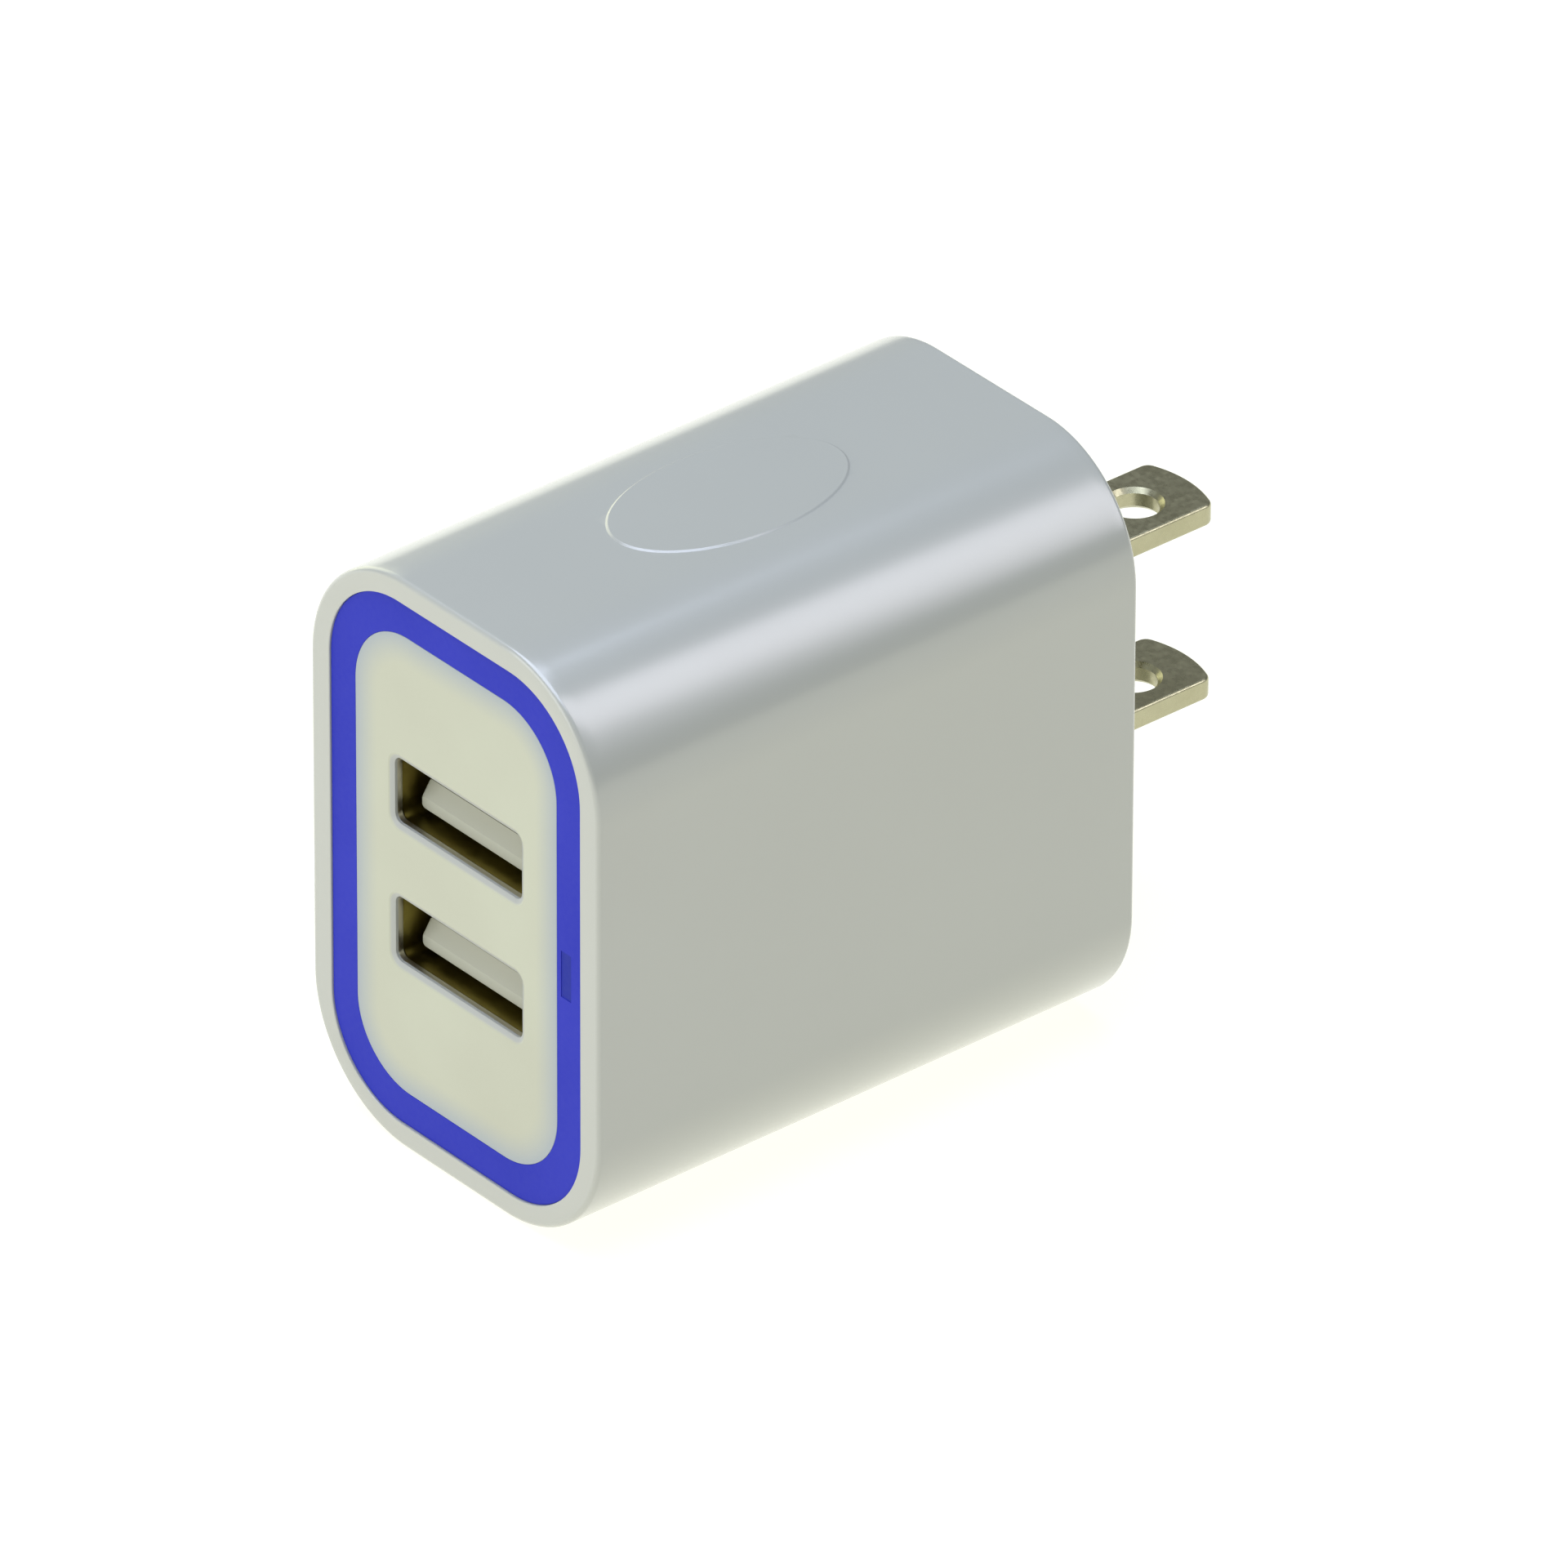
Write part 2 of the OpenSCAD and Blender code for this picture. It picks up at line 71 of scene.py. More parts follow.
class Body(Enum):
    """The rigid bodies of the frame."""

    CHARGER = "charger"
    UPPER_SPRINGS = "upper_contact_springs"
    LOWER_SPRINGS = "lower_contact_springs"


# ---------------------------------------------------------------- shapes


def outline(w: float, h: float, r: float, corner: int = 20, straight: int = 8) -> Array:
    """A rounded rectangle as one closed loop of points.

    Each corner is a quarter circle of radius r about its centre, and each side is
    cut evenly between the corners, so every outline made with the same counts has
    matching points.

    Args:
        w: Width along X, in mm.
        h: Height along Z, in mm.
        r: Corner radius, in mm.
        corner: Steps in each quarter circle.
        straight: Steps in each side.

    Returns:
        Points of shape (4 * (corner + straight), 2), counter-clockwise from the right.
    """
    r = max(r, 1e-4)
    quarter = np.linspace(0, math.pi / 2, corner + 1)
    centres = np.array([[1, 1], [-1, 1], [-1, -1], [1, -1]]) * [w / 2 - r, h / 2 - r]
    angle = quarter[None] + np.arange(4)[:, None] * math.pi / 2
    arcs = centres[:, None] + r * np.stack([np.cos(angle), np.sin(angle)], -1)
    ends = np.roll(arcs[:, 0], -1, 0)
    share = (np.arange(1, straight) / straight)[None, :, None]
    sides = arcs[:, -1:] * (1 - share) + ends[:, None] * share
    return np.concatenate([arcs, sides], 1).reshape(-1, 2)


def grown(size: Size, grow: float, steps: tuple[int, int]) -> Array:
    """The outline of a rounded rectangle (width, height, radius), grown on every side."""
    w, h, r = size
    return outline(w + 2 * grow, h + 2 * grow, r + grow, *steps)


def unit_circle(steps: int) -> Array:
    """Evenly spaced points round the unit circle, counter-clockwise from the right."""
    a = np.linspace(0, TAU, steps, endpoint=False)
    return np.column_stack([np.cos(a), np.sin(a)])


def fillet(start: float, end: float, steps: int) -> tuple[Array, Array]:
    """Cosine and sine of evenly spaced angles between two angles in degrees."""
    a = np.radians(np.linspace(start, end, steps + 1))
    return np.cos(a), np.sin(a)


def stack_loops(loops: Sequence[Array], closed: bool) -> tuple[Array, list]:
    """Joins equal loops into a grid of quads.

    Point (i, j) of the grid is point j of loop i; each quad joins neighbours in
    both directions, and j wraps round.

    Args:
        loops: Arrays of shape (n, 3), in mm.
        closed: Whether the last loop joins the first; otherwise both are capped.

    Returns:
        Vertices of shape (m, 3) and a list of faces.
    """
    grid = np.stack(loops)
    m, n = grid.shape[:2]
    index = np.arange(m * n).reshape(m, n)
    nxt = np.roll(index, -1, 1)
    low, low_next = (index, nxt) if closed else (index[:-1], nxt[:-1])
    up = np.roll(index, -1, 0) if closed else index[1:]
    up_next = np.roll(nxt, -1, 0) if closed else nxt[1:]
    faces = np.stack([low, low_next, up_next, up], -1).reshape(-1, 4).tolist()
    if not closed:
        faces += [index[0, ::-1].tolist(), index[-1].tolist()]
    return grid.reshape(-1, 3), faces


def at_depth(loop: Array, y: float, dx: float = 0.0, dz: float = 0.0) -> Array:
    """A flat XZ loop placed at depth y and moved by dx, dz."""
    return np.column_stack([loop[:, 0] + dx, np.full(len(loop), y), loop[:, 1] + dz])


def at_height(loop: Array, z: float, dx: float = 0.0, dy: float = 0.0) -> Array:
    """A flat XY loop placed at height z and moved by dx, dy."""
    return np.column_stack([loop[:, 0] + dx, loop[:, 1] + dy, np.full(len(loop), z)])


def link_new(name: str, data: bpy.types.ID) -> Object:
    """Makes an object that shows some data and links it to the scene."""
    obj = bpy.data.objects.new(name, data)
    bpy.context.scene.collection.objects.link(obj)
    return obj


def discard(obj: Object) -> None:
    """Removes a mesh object together with its mesh."""
    mesh = obj.data
    bpy.data.objects.remove(obj)
    bpy.data.meshes.remove(mesh)


def raw_object(name: str, verts: Array, faces: list) -> Object:
    """Makes a mesh object in metres from millimetre points, with faces outwards.

    Args:
        name: Name of the object and of its mesh.
        verts: Points of shape (n, 3), in mm.
        faces: Lists of point numbers.

    Returns:
        The new object, linked to the scene.
    """
    mesh = bpy.data.meshes.new(name)
    mesh.from_pydata((np.asarray(verts, float) * MM).tolist(), [], faces)
    mesh.update()
    mesh.validate()
    bm = bmesh.new()
    bm.from_mesh(mesh)
    bmesh.ops.recalc_face_normals(bm, faces=bm.faces)
    bm.to_mesh(mesh)
    bm.free()
    return link_new(name, mesh)


def solid(name: str, loops: Sequence[Array]) -> Object:
    """A capped solid through a stack of equal loops."""
    return raw_object(name, *stack_loops(loops, False))


def bake(obj: Object) -> Object:
    """Applies an object's modifiers to its mesh."""
    graph = bpy.context.evaluated_depsgraph_get()
    graph.update()
    mesh = bpy.data.meshes.new_from_object(obj.evaluated_get(graph))
    obj.modifiers.clear()
    old, obj.data = obj.data, mesh
    bpy.data.meshes.remove(old)
    return obj


class Join(Enum):
    """How a tool meets the piece it shapes."""

    CUT = "DIFFERENCE"
    ADD = "UNION"


def cut(
    obj: Object, tools: Sequence[Object], how: Join = Join.CUT
) -> Object:
    """Cuts each tool out of an object, or adds it, then removes the tools.

    Args:
        obj: The object that is shaped.
        tools: Closed objects, used one after another.
        how: Whether the tools are cut out or added.

    Returns:
        The same object with its new mesh.
    """
    for tool in tools:
        mod = obj.modifiers.new("cut", "BOOLEAN")
        mod.operation, mod.solver, mod.object = how.value, "EXACT", tool
        bake(obj)
        discard(tool)
    return obj


def merge(name: str, parts: Sequence[Object]) -> Object:
    """Joins several mesh objects into one object of that name and removes them."""
    bm = bmesh.new()
    for part in parts:
        bm.from_mesh(part.data)
        discard(part)
    made = bpy.data.meshes.new(name)
    bm.to_mesh(made)
    bm.free()
    return link_new(name, made)


def smooth(obj: Object, angle: float = 32.0) -> Object:
    """Shades an object smooth with creases over an angle, large faces leading the normals.

    Args:
        obj: The object to shade.
        angle: Angle in degrees above which an edge stays a crease.

    Returns:
        The same object with its normals baked in.
    """
    obj.data.shade_smooth()
    obj.data.set_sharp_from_angle(angle=math.radians(angle))
    mod = obj.modifiers.new("normals", "WEIGHTED_NORMAL")
    mod.mode, mod.weight, mod.keep_sharp = "FACE_AREA", 80, True
    return bake(obj)


def smooth_line(points: Sequence[Sequence[float]], steps: int) -> Array:
    """A curve through points, even in its share of each span.

    Between two points it is the cubic that meets both of them with their slopes,
    and a point's slope is half the step between its neighbours.

    Args:
        points: Points of shape (n, 2).
        steps: How many points to return.

    Returns:
        Points of shape (steps, 2).
    """
    pts = np.array(points)
    s = np.linspace(0, len(pts) - 1, steps)
    i = np.clip(s.astype(int), 0, len(pts) - 2)
    f = (s - i)[:, None]
    slope = np.gradient(pts, axis=0)
    start = (2 * f**3 - 3 * f**2 + 1) * pts[i] + (f**3 - 2 * f**2 + f) * slope[i]
    return start + (3 * f**2 - 2 * f**3) * pts[i + 1] + (f**3 - f**2) * slope[i + 1]


def box_tool(name: str, low: Sequence[float], high: Sequence[float]) -> Object:
    """A plain box between two corners in mm, used for cutting."""
    lo, hi = np.minimum(low, high), np.maximum(low, high)
    flat = np.array([[lo[0], lo[2]], [hi[0], lo[2]], [hi[0], hi[2]], [lo[0], hi[2]]])
    return solid(name, [at_depth(flat, lo[1]), at_depth(flat, hi[1])])


# ---------------------------------------------------------------- finishes


class Groups:
    """Shader node groups shared by the finishes, each built once."""

    _made: dict[str, bpy.types.NodeTree] = {}

    @classmethod
    def _new(cls, name: str, ins: dict[str, float], outs: Sequence[str]) -> bpy.types.NodeTree:
        """An empty group with a Vector input, number inputs and number outputs."""
        tree = bpy.data.node_groups.new(name, "ShaderNodeTree")
        tree.interface.new_socket("Vector", in_out="INPUT", socket_type="NodeSocketVector")
        for key, value in ins.items():
            made = tree.interface.new_socket(key, in_out="INPUT", socket_type="NodeSocketFloat")
            made.default_value = value
        for key in outs:
            tree.interface.new_socket(key, in_out="OUTPUT", socket_type="NodeSocketFloat")
        tree.nodes.new("NodeGroupInput").name = "in"
        tree.nodes.new("NodeGroupOutput").name = "out"
        return tree

    @classmethod
    def math_node(cls, tree: bpy.types.NodeTree, op: str, *args: object) -> bpy.types.NodeSocket:
        """One Math node: each argument is a number or a socket."""
        node = tree.nodes.new("ShaderNodeMath")
        node.operation = op
        for slot, arg in zip(node.inputs, args):
            if isinstance(arg, (int, float)):
                slot.default_value = arg
            else:
                tree.links.new(arg, slot)
        return node.outputs[0]

    @classmethod
    def grain(cls) -> bpy.types.NodeTree:
        """Fine moulded or rolled grain: a height and a slow mottle, both about 0 to 1."""
        if "grain" not in cls._made:
            inputs = {"Scale": 900.0, "Mottle Scale": 60.0, "Detail": 3.0}
            tree = cls._new("fine grain", inputs, ["Height", "Mottle"])
            src, out, link = tree.nodes["in"], tree.nodes["out"], tree.links.new
            kinds = (("Height", "Scale", "Detail"), ("Mottle", "Mottle Scale", None))
            for key, scale, detail in kinds:
                noise = tree.nodes.new("ShaderNodeTexNoise")
                link(src.outputs["Vector"], noise.inputs["Vector"])
                link(src.outputs[scale], noise.inputs["Scale"])
                if detail:
                    link(src.outputs[detail], noise.inputs["Detail"])
                link(noise.outputs["Fac"], out.inputs[key])
            cls._made["grain"] = tree
        return cls._made["grain"]

    @classmethod
    def pits(cls) -> bpy.types.NodeTree:
        """Small round pits: 1 on the surface, falling to 0 inside scattered cells."""
        if "pits" not in cls._made:
            tree = cls._new("pits", {"Scale": 1500.0, "Size": 0.32, "Share": 0.5}, ["Height"])
            src, out, link = tree.nodes["in"], tree.nodes["out"], tree.links.new
            calc = partial(cls.math_node, tree)
            cell = tree.nodes.new("ShaderNodeTexVoronoi")
            link(src.outputs["Vector"], cell.inputs["Vector"])
            link(src.outputs["Scale"], cell.inputs["Scale"])
            split = tree.nodes.new("ShaderNodeSeparateColor")
            link(cell.outputs["Color"], split.inputs[0])
            rare = calc("GREATER_THAN", split.outputs[0], src.outputs["Share"])
            near = calc("DIVIDE", cell.outputs["Distance"], src.outputs["Size"])
            wall = calc("MINIMUM", near, 1.0)
            deep = calc("MULTIPLY", calc("SUBTRACT", 1.0, wall), rare)
            link(calc("SUBTRACT", 1.0, deep), out.inputs["Height"])
            cls._made["pits"] = tree
        return cls._made["pits"]

    @classmethod
    def edge_distance(cls) -> bpy.types.NodeTree:
        """Distance from the outline of an upright rounded rectangle, negative inside, in metres.

        With q the point's distances past the corner centres, it is the length of q's
        positive part, plus the larger of q where both are negative, less the radius.
        """
        if "edge" not in cls._made:
            inputs = {"Half Width": 0.01, "Half Height": 0.01, "Radius": 0.001}
            tree = cls._new("outline distance", inputs, ["Distance"])
            src, out, link = tree.nodes["in"], tree.nodes["out"], tree.links.new
            calc = partial(cls.math_node, tree)
            split = tree.nodes.new("ShaderNodeSeparateXYZ")
            link(src.outputs["Vector"], split.inputs[0])
            past = []
            for axis, half in (("X", "Half Width"), ("Z", "Half Height")):
                inner = calc("SUBTRACT", src.outputs[half], src.outputs["Radius"])
                size = calc("ABSOLUTE", split.outputs[axis])
                past.append(calc("SUBTRACT", size, inner))
            ahead = [calc("MAXIMUM", q, 0.0) for q in past]
            square = [calc("POWER", q, 2.0) for q in ahead]
            length = calc("SQRT", calc("ADD", *square))
            inside = calc("MINIMUM", calc("MAXIMUM", *past), 0.0)
            total = calc("ADD", length, inside)
            less = calc("SUBTRACT", total, src.outputs["Radius"])
            link(less, out.inputs["Distance"])
            cls._made["edge"] = tree
        return cls._made["edge"]


class Surface:
    """A material in the making: its Principled shader, object coordinates and helpers."""

    def __init__(self, name: str) -> None:
        """Starts a new material with an empty shader."""
        self.material = bpy.data.materials.new(name)
        self.material.use_nodes = True
        self.tree = self.material.node_tree
        self.link = self.tree.links.new
        self.shader = self.tree.nodes["Principled BSDF"]
        self.coords = self.tree.nodes.new("ShaderNodeTexCoord").outputs["Object"]

    def set(self, **values: object) -> "Surface":
        """Sets constants on the shader's own sockets; underscores stand for spaces."""
        for key, value in values.items():
            slot = self.shader.inputs[key.replace("_", " ")]
            slot.default_value = (*value, 1.0) if isinstance(value, tuple) else value
        return self

    def base(self) -> object:
        """The socket that feeds Base Color now."""
        return self.shader.inputs["Base Color"].links[0].from_socket

    def placed(self, kind: str) -> bpy.types.Node:
        """A new node fed with object coordinates."""
        node = self.tree.nodes.new(kind)
        self.link(self.coords, node.inputs["Vector"])
        return node

    def mapping(self, setting: str, value: Vec3) -> object:
        """Object coordinates moved, or stretched, by one setting of a Mapping node."""
        node = self.placed("ShaderNodeMapping")
        node.inputs[setting].default_value = value
        return node.outputs[0]

    def group(
        self, tree: bpy.types.NodeTree, vector: Optional[object] = None, **values: float
    ) -> object:
        """Places a shared group.

        Args:
            tree: The group.
            vector: What feeds its Vector input; object coordinates if left out.
            **values: Numbers for its inputs; underscores stand for spaces.

        Returns:
            The group's node.
        """
        node = self.tree.nodes.new("ShaderNodeGroup")
        node.node_tree = tree
        self.link(vector or self.coords, node.inputs["Vector"])
        for key, value in values.items():
            node.inputs[key.replace("_", " ")].default_value = value
        return node

    def ramp(
        self, source: object, low: float, high: float, to_low: float = 0.0, to_high: float = 1.0
    ) -> object:
        """Maps a changing value from one range to another, clamped.

        Args:
            source: The socket with the changing value.
            low: Value that becomes to_low.
            high: Value that becomes to_high.
            to_low: One end of the result.
            to_high: The other end of the result.

        Returns:
            The socket with the mapped value.
        """
        node = self.tree.nodes.new("ShaderNodeMapRange")
        node.inputs["From Min"].default_value, node.inputs["From Max"].default_value = low, high
        node.inputs["To Min"].default_value, node.inputs["To Max"].default_value = to_low, to_high
        self.link(source, node.inputs["Value"])
        return node.outputs[0]

    def math(self, op: str, *args: object) -> object:
        """One Math node in this material."""
        return Groups.math_node(self.tree, op, *args)

    def mix(self, factor: object, a: object, b: object) -> object:
        """Mixes two colours by a changing factor."""
        node = self.tree.nodes.new("ShaderNodeMix")
        node.data_type = "RGBA"
        # in colour mode the factor, A, B and result are sockets 0, 6, 7 and 2
        self.link(factor, node.inputs[0])
        for slot, value in ((node.inputs[6], a), (node.inputs[7], b)):
            if isinstance(value, tuple):
                slot.default_value = (*value, 1.0)
            else:
                self.link(value, slot)
        return node.outputs[2]

    def colour(self, source: object) -> None:
        """Feeds Base Color."""
        self.link(source, self.shader.inputs["Base Color"])

    def roughness(self, source: object) -> None:
        """Feeds Roughness."""
        self.link(source, self.shader.inputs["Roughness"])

    def bump(self, source: object, depth: float, strength: float = 1.0) -> None:
        """Feeds Normal with a bump, after any earlier bump.

        Args:
            source: The socket with the height, from 0 to 1.
            depth: Depth of the bump, in metres.
            strength: Share of the bump that is used.
        """
        node = self.tree.nodes.new("ShaderNodeBump")
        node.inputs["Distance"].default_value = depth
        node.inputs["Strength"].default_value = strength
        self.link(source, node.inputs["Height"])
        slot = self.shader.inputs["Normal"]
        if slot.is_linked:
            self.link(slot.links[0].from_socket, node.inputs["Normal"])
        self.link(node.outputs["Normal"], slot)


class Finish:
    """A finish of the charger: surface() builds its shader, build() hands over the material."""

    def surface(self) -> Surface:
        """Builds the shader."""
        raise NotImplementedError

    def build(self) -> bpy.types.Material:
        """Returns the finished material."""
        return self.surface().material


@dataclass(frozen=True)
class Moulded(Finish):
    """Injection-moulded plastic: slight mottle in colour, very fine grain in gloss and relief."""

    name: str
    colour: Colour
    tint: Colour
    rough: float = 0.2
    rough_spread: float = 0.05
    grain: float = 2500.0
    mottle_grain: float = 90.0
    relief: float = 1.5e-6
    coat: float = 0.0
    coat_rough: float = 0.08
    coat_ior: float = 1.5
    gloss: float = 0.5

    def surface(self) -> Surface:
        """Builds the plastic."""
        s = Surface(self.name).set(Specular_IOR_Level=self.gloss, Coat_Weight=self.coat)
        s.set(Coat_Roughness=self.coat_rough, Coat_IOR=self.coat_ior)
        fine = s.group(Groups.grain(), Scale=self.grain, Mottle_Scale=self.mottle_grain)
        s.colour(s.mix(s.ramp(fine.outputs["Mottle"], *GRAIN), self.colour, self.tint))
        smoothest, roughest = self.rough - self.rough_spread, self.rough + self.rough_spread
        s.roughness(s.ramp(fine.outputs["Height"], *GRAIN, smoothest, roughest))
        s.bump(fine.outputs["Height"], self.relief)
        return s


@dataclass(frozen=True)
class IvoryPanel(Moulded):
    """Moulded panel with painted shade: a cool, darker painted band along its outline and round its
    openings.
    """

    # colours of painted shade: a bluish band inside the ring and a grey band round the openings
    ring_shade_colour: Colour = (0.385, 0.43, 0.46)
    mouth_shade_colour: Colour = (0.475, 0.485, 0.45)
    mouth: tuple[float, float, float, float] = (PORT_Z, 6.40, 2.64, 0.95)
    mouth_fade: Pair = (0.07, -0.05)
    half_w: float = 9.6
    half_h: float = 16.44
    radius: float = 5.06
    band: float = 2.1
    fade_power: float = 1.4

    def surface(self) -> Surface:
        """Builds the plastic with its painted shade bands."""
        s = super().surface()
        sizes = {"Half_Width": self.half_w * MM, "Half_Height": self.half_h * MM}
        edge = s.group(Groups.edge_distance(), **sizes, Radius=self.radius * MM)
        # painted bluish shade: the colour darkens and cools in a band inside the ring
        ring_shade_mask = s.ramp(edge.outputs["Distance"], -self.band * MM, 0.0)
        shaded = s.mix(s.math("POWER", ring_shade_mask, self.fade_power), s.base(), self.ring_shade_colour)
        z, half_w, half_h, radius = (v * MM for v in self.mouth)
        sizes = {"Half_Width": half_w, "Half_Height": half_h, "Radius": radius}
        start, stop = (v * MM for v in self.mouth_fade)
        # painted shade: a cool grey band round each port opening
        for side in (z, -z):
            near = s.group(Groups.edge_distance(), s.mapping("Location", (0, 0, side)), **sizes)
            shaded = s.mix(s.ramp(near.outputs["Distance"], start, stop), shaded, self.mouth_shade_colour)
        s.colour(shaded)
        return s


@dataclass(frozen=True)
class BlueRing(Moulded):
    """Saturated translucent blue, with painted shade darkening the small light pocket."""

    # colour of painted shade in the pocket
    pocket_shade_colour: Colour = (0.018, 0.03, 0.33)
    pocket: tuple[float, float, float, float] = (10.52, -0.5, 0.475, 1.65)
    pocket_fade: Pair = (0.08, -0.12)
    pocket_radius: float = 0.05

    def surface(self) -> Surface:
        """Builds the plastic with painted shade in its pocket."""
        s = super().surface()
        x, z, half_w, half_h = (v * MM for v in self.pocket)
        start, stop = (v * MM for v in self.pocket_fade)
        sizes = {"Half_Width": half_w, "Half_Height": half_h, "Radius": self.pocket_radius * MM}
        edge = s.group(Groups.edge_distance(), s.mapping("Location", (-x, 0, -z)), **sizes)
        inside = s.ramp(edge.outputs["Distance"], start, stop)
        # painted shade: the colour darkens inside the pocket's outline
        s.colour(s.mix(inside, s.base(), self.pocket_shade_colour))
        return s


@dataclass(frozen=True)
class PlatedMetal(Finish):
    """Thin bright plating over sheet metal, with tarnish, rolled grain and optional pits."""

    name: str
    colour: Colour
    tarnish: Colour
    rough: float = 0.3
    rough_spread: Pair = (-0.08, 0.1)
    grain: float = 1800.0
    mottle_grain: float = 350.0
    mottle: Pair = (0.35, 0.7)
    detail: float = 5.0
    relief: float = 3e-6
    pit: Size = (3200.0, 0.42, 0.45)
    pit_depth: float = 0.0

    def surface(self) -> Surface:
        """Builds the metal."""
        s = Surface(self.name).set(Metallic=1.0)
        scales = {"Scale": self.grain, "Mottle_Scale": self.mottle_grain, "Detail": self.detail}
        fine = s.group(Groups.grain(), **scales)
        s.colour(s.mix(s.ramp(fine.outputs["Mottle"], *self.mottle), self.colour, self.tarnish))
        smoothest, roughest = (self.rough + spread for spread in self.rough_spread)
        s.roughness(s.ramp(fine.outputs["Height"], *GRAIN, smoothest, roughest))
        s.bump(fine.outputs["Height"], self.relief)
        if self.pit_depth:
            scale, size, share = self.pit
            pits = s.group(Groups.pits(), Scale=scale, Size=size, Share=share)
            s.bump(pits.outputs["Height"], self.pit_depth)
        return s


@dataclass(frozen=True)
class ShellSteel(PlatedMetal):
    """Plated steel with painted light: paler and greyer just behind the mouth, where light falls
    in.
    """

    # colour of painted light on the lip just behind the mouth
    lit_lip_colour: Colour = (0.66, 0.62, 0.50)
    lit_lip_y: Pair = (-42.1, -42.0)

    def surface(self) -> Surface:
        """Builds the steel with its painted lighter lip."""
        s = super().surface()
        split = s.placed("ShaderNodeSeparateXYZ")
        start, stop = (v * MM for v in self.lit_lip_y)
        # painted light: the shell is paler just behind the mouth
        s.colour(s.mix(s.ramp(split.outputs["Y"], start, stop), self.lit_lip_colour, s.base()))
        return s


@dataclass(frozen=True)
class CircuitBoard(Finish):
    """Solder mask with faint copper tracks showing through as slightly lighter bands."""

    name: str
    mask: Colour
    track: Colour
    cells: float = 450.0
    track_edge: Pair = (0.45, 0.5)
    track_height: float = 1.5e-5
    grain: float = 2000.0
    rough: Pair = (0.35, 0.5)

    def surface(self) -> Surface:
        """Builds the board."""
        s = Surface(self.name).set(Coat_Weight=0.3, Coat_Roughness=0.2)
        cell = s.placed("ShaderNodeTexVoronoi")
        cell.distance, cell.inputs["Scale"].default_value = "MANHATTAN", self.cells
        tracks = s.ramp(cell.outputs["Distance"], *self.track_edge)
        s.colour(s.mix(tracks, self.mask, self.track))
        fine = s.group(Groups.grain(), Scale=self.grain)
        s.roughness(s.ramp(fine.outputs["Height"], *GRAIN, *self.rough))
        s.bump(tracks, self.track_height)
        return s


@dataclass(frozen=True)
class WoundWire(Finish):
    """Enamelled wire laid in turns: a fine wave across the winding with painted shade darkening its
    grooves.
    """

    name: str
    wire: Colour
    # groove: colour of painted shade in the grooves between turns
    groove: Colour
    turns: float = 1400.0
    waver: float = 0.4
    depth: float = 6e-5
    grain: float = 1500.0
    rough: Pair = (0.25, 0.4)

    def surface(self) -> Surface:
        """Builds the winding."""
        s = Surface(self.name).set(Metallic=0.8, Coat_Weight=0.5, Coat_Roughness=0.15)
        wave = s.placed("ShaderNodeTexWave")
        wave.bands_direction, wave.inputs["Scale"].default_value = "Y", self.turns
        wave.inputs["Distortion"].default_value = self.waver
        # painted shade: the groove colour fills the low parts of the wave
        s.colour(s.mix(wave.outputs["Fac"], self.groove, self.wire))
        fine = s.group(Groups.grain(), Scale=self.grain)
        s.roughness(s.ramp(fine.outputs["Height"], *GRAIN, *self.rough))
        s.bump(wave.outputs["Fac"], self.depth)
        return s


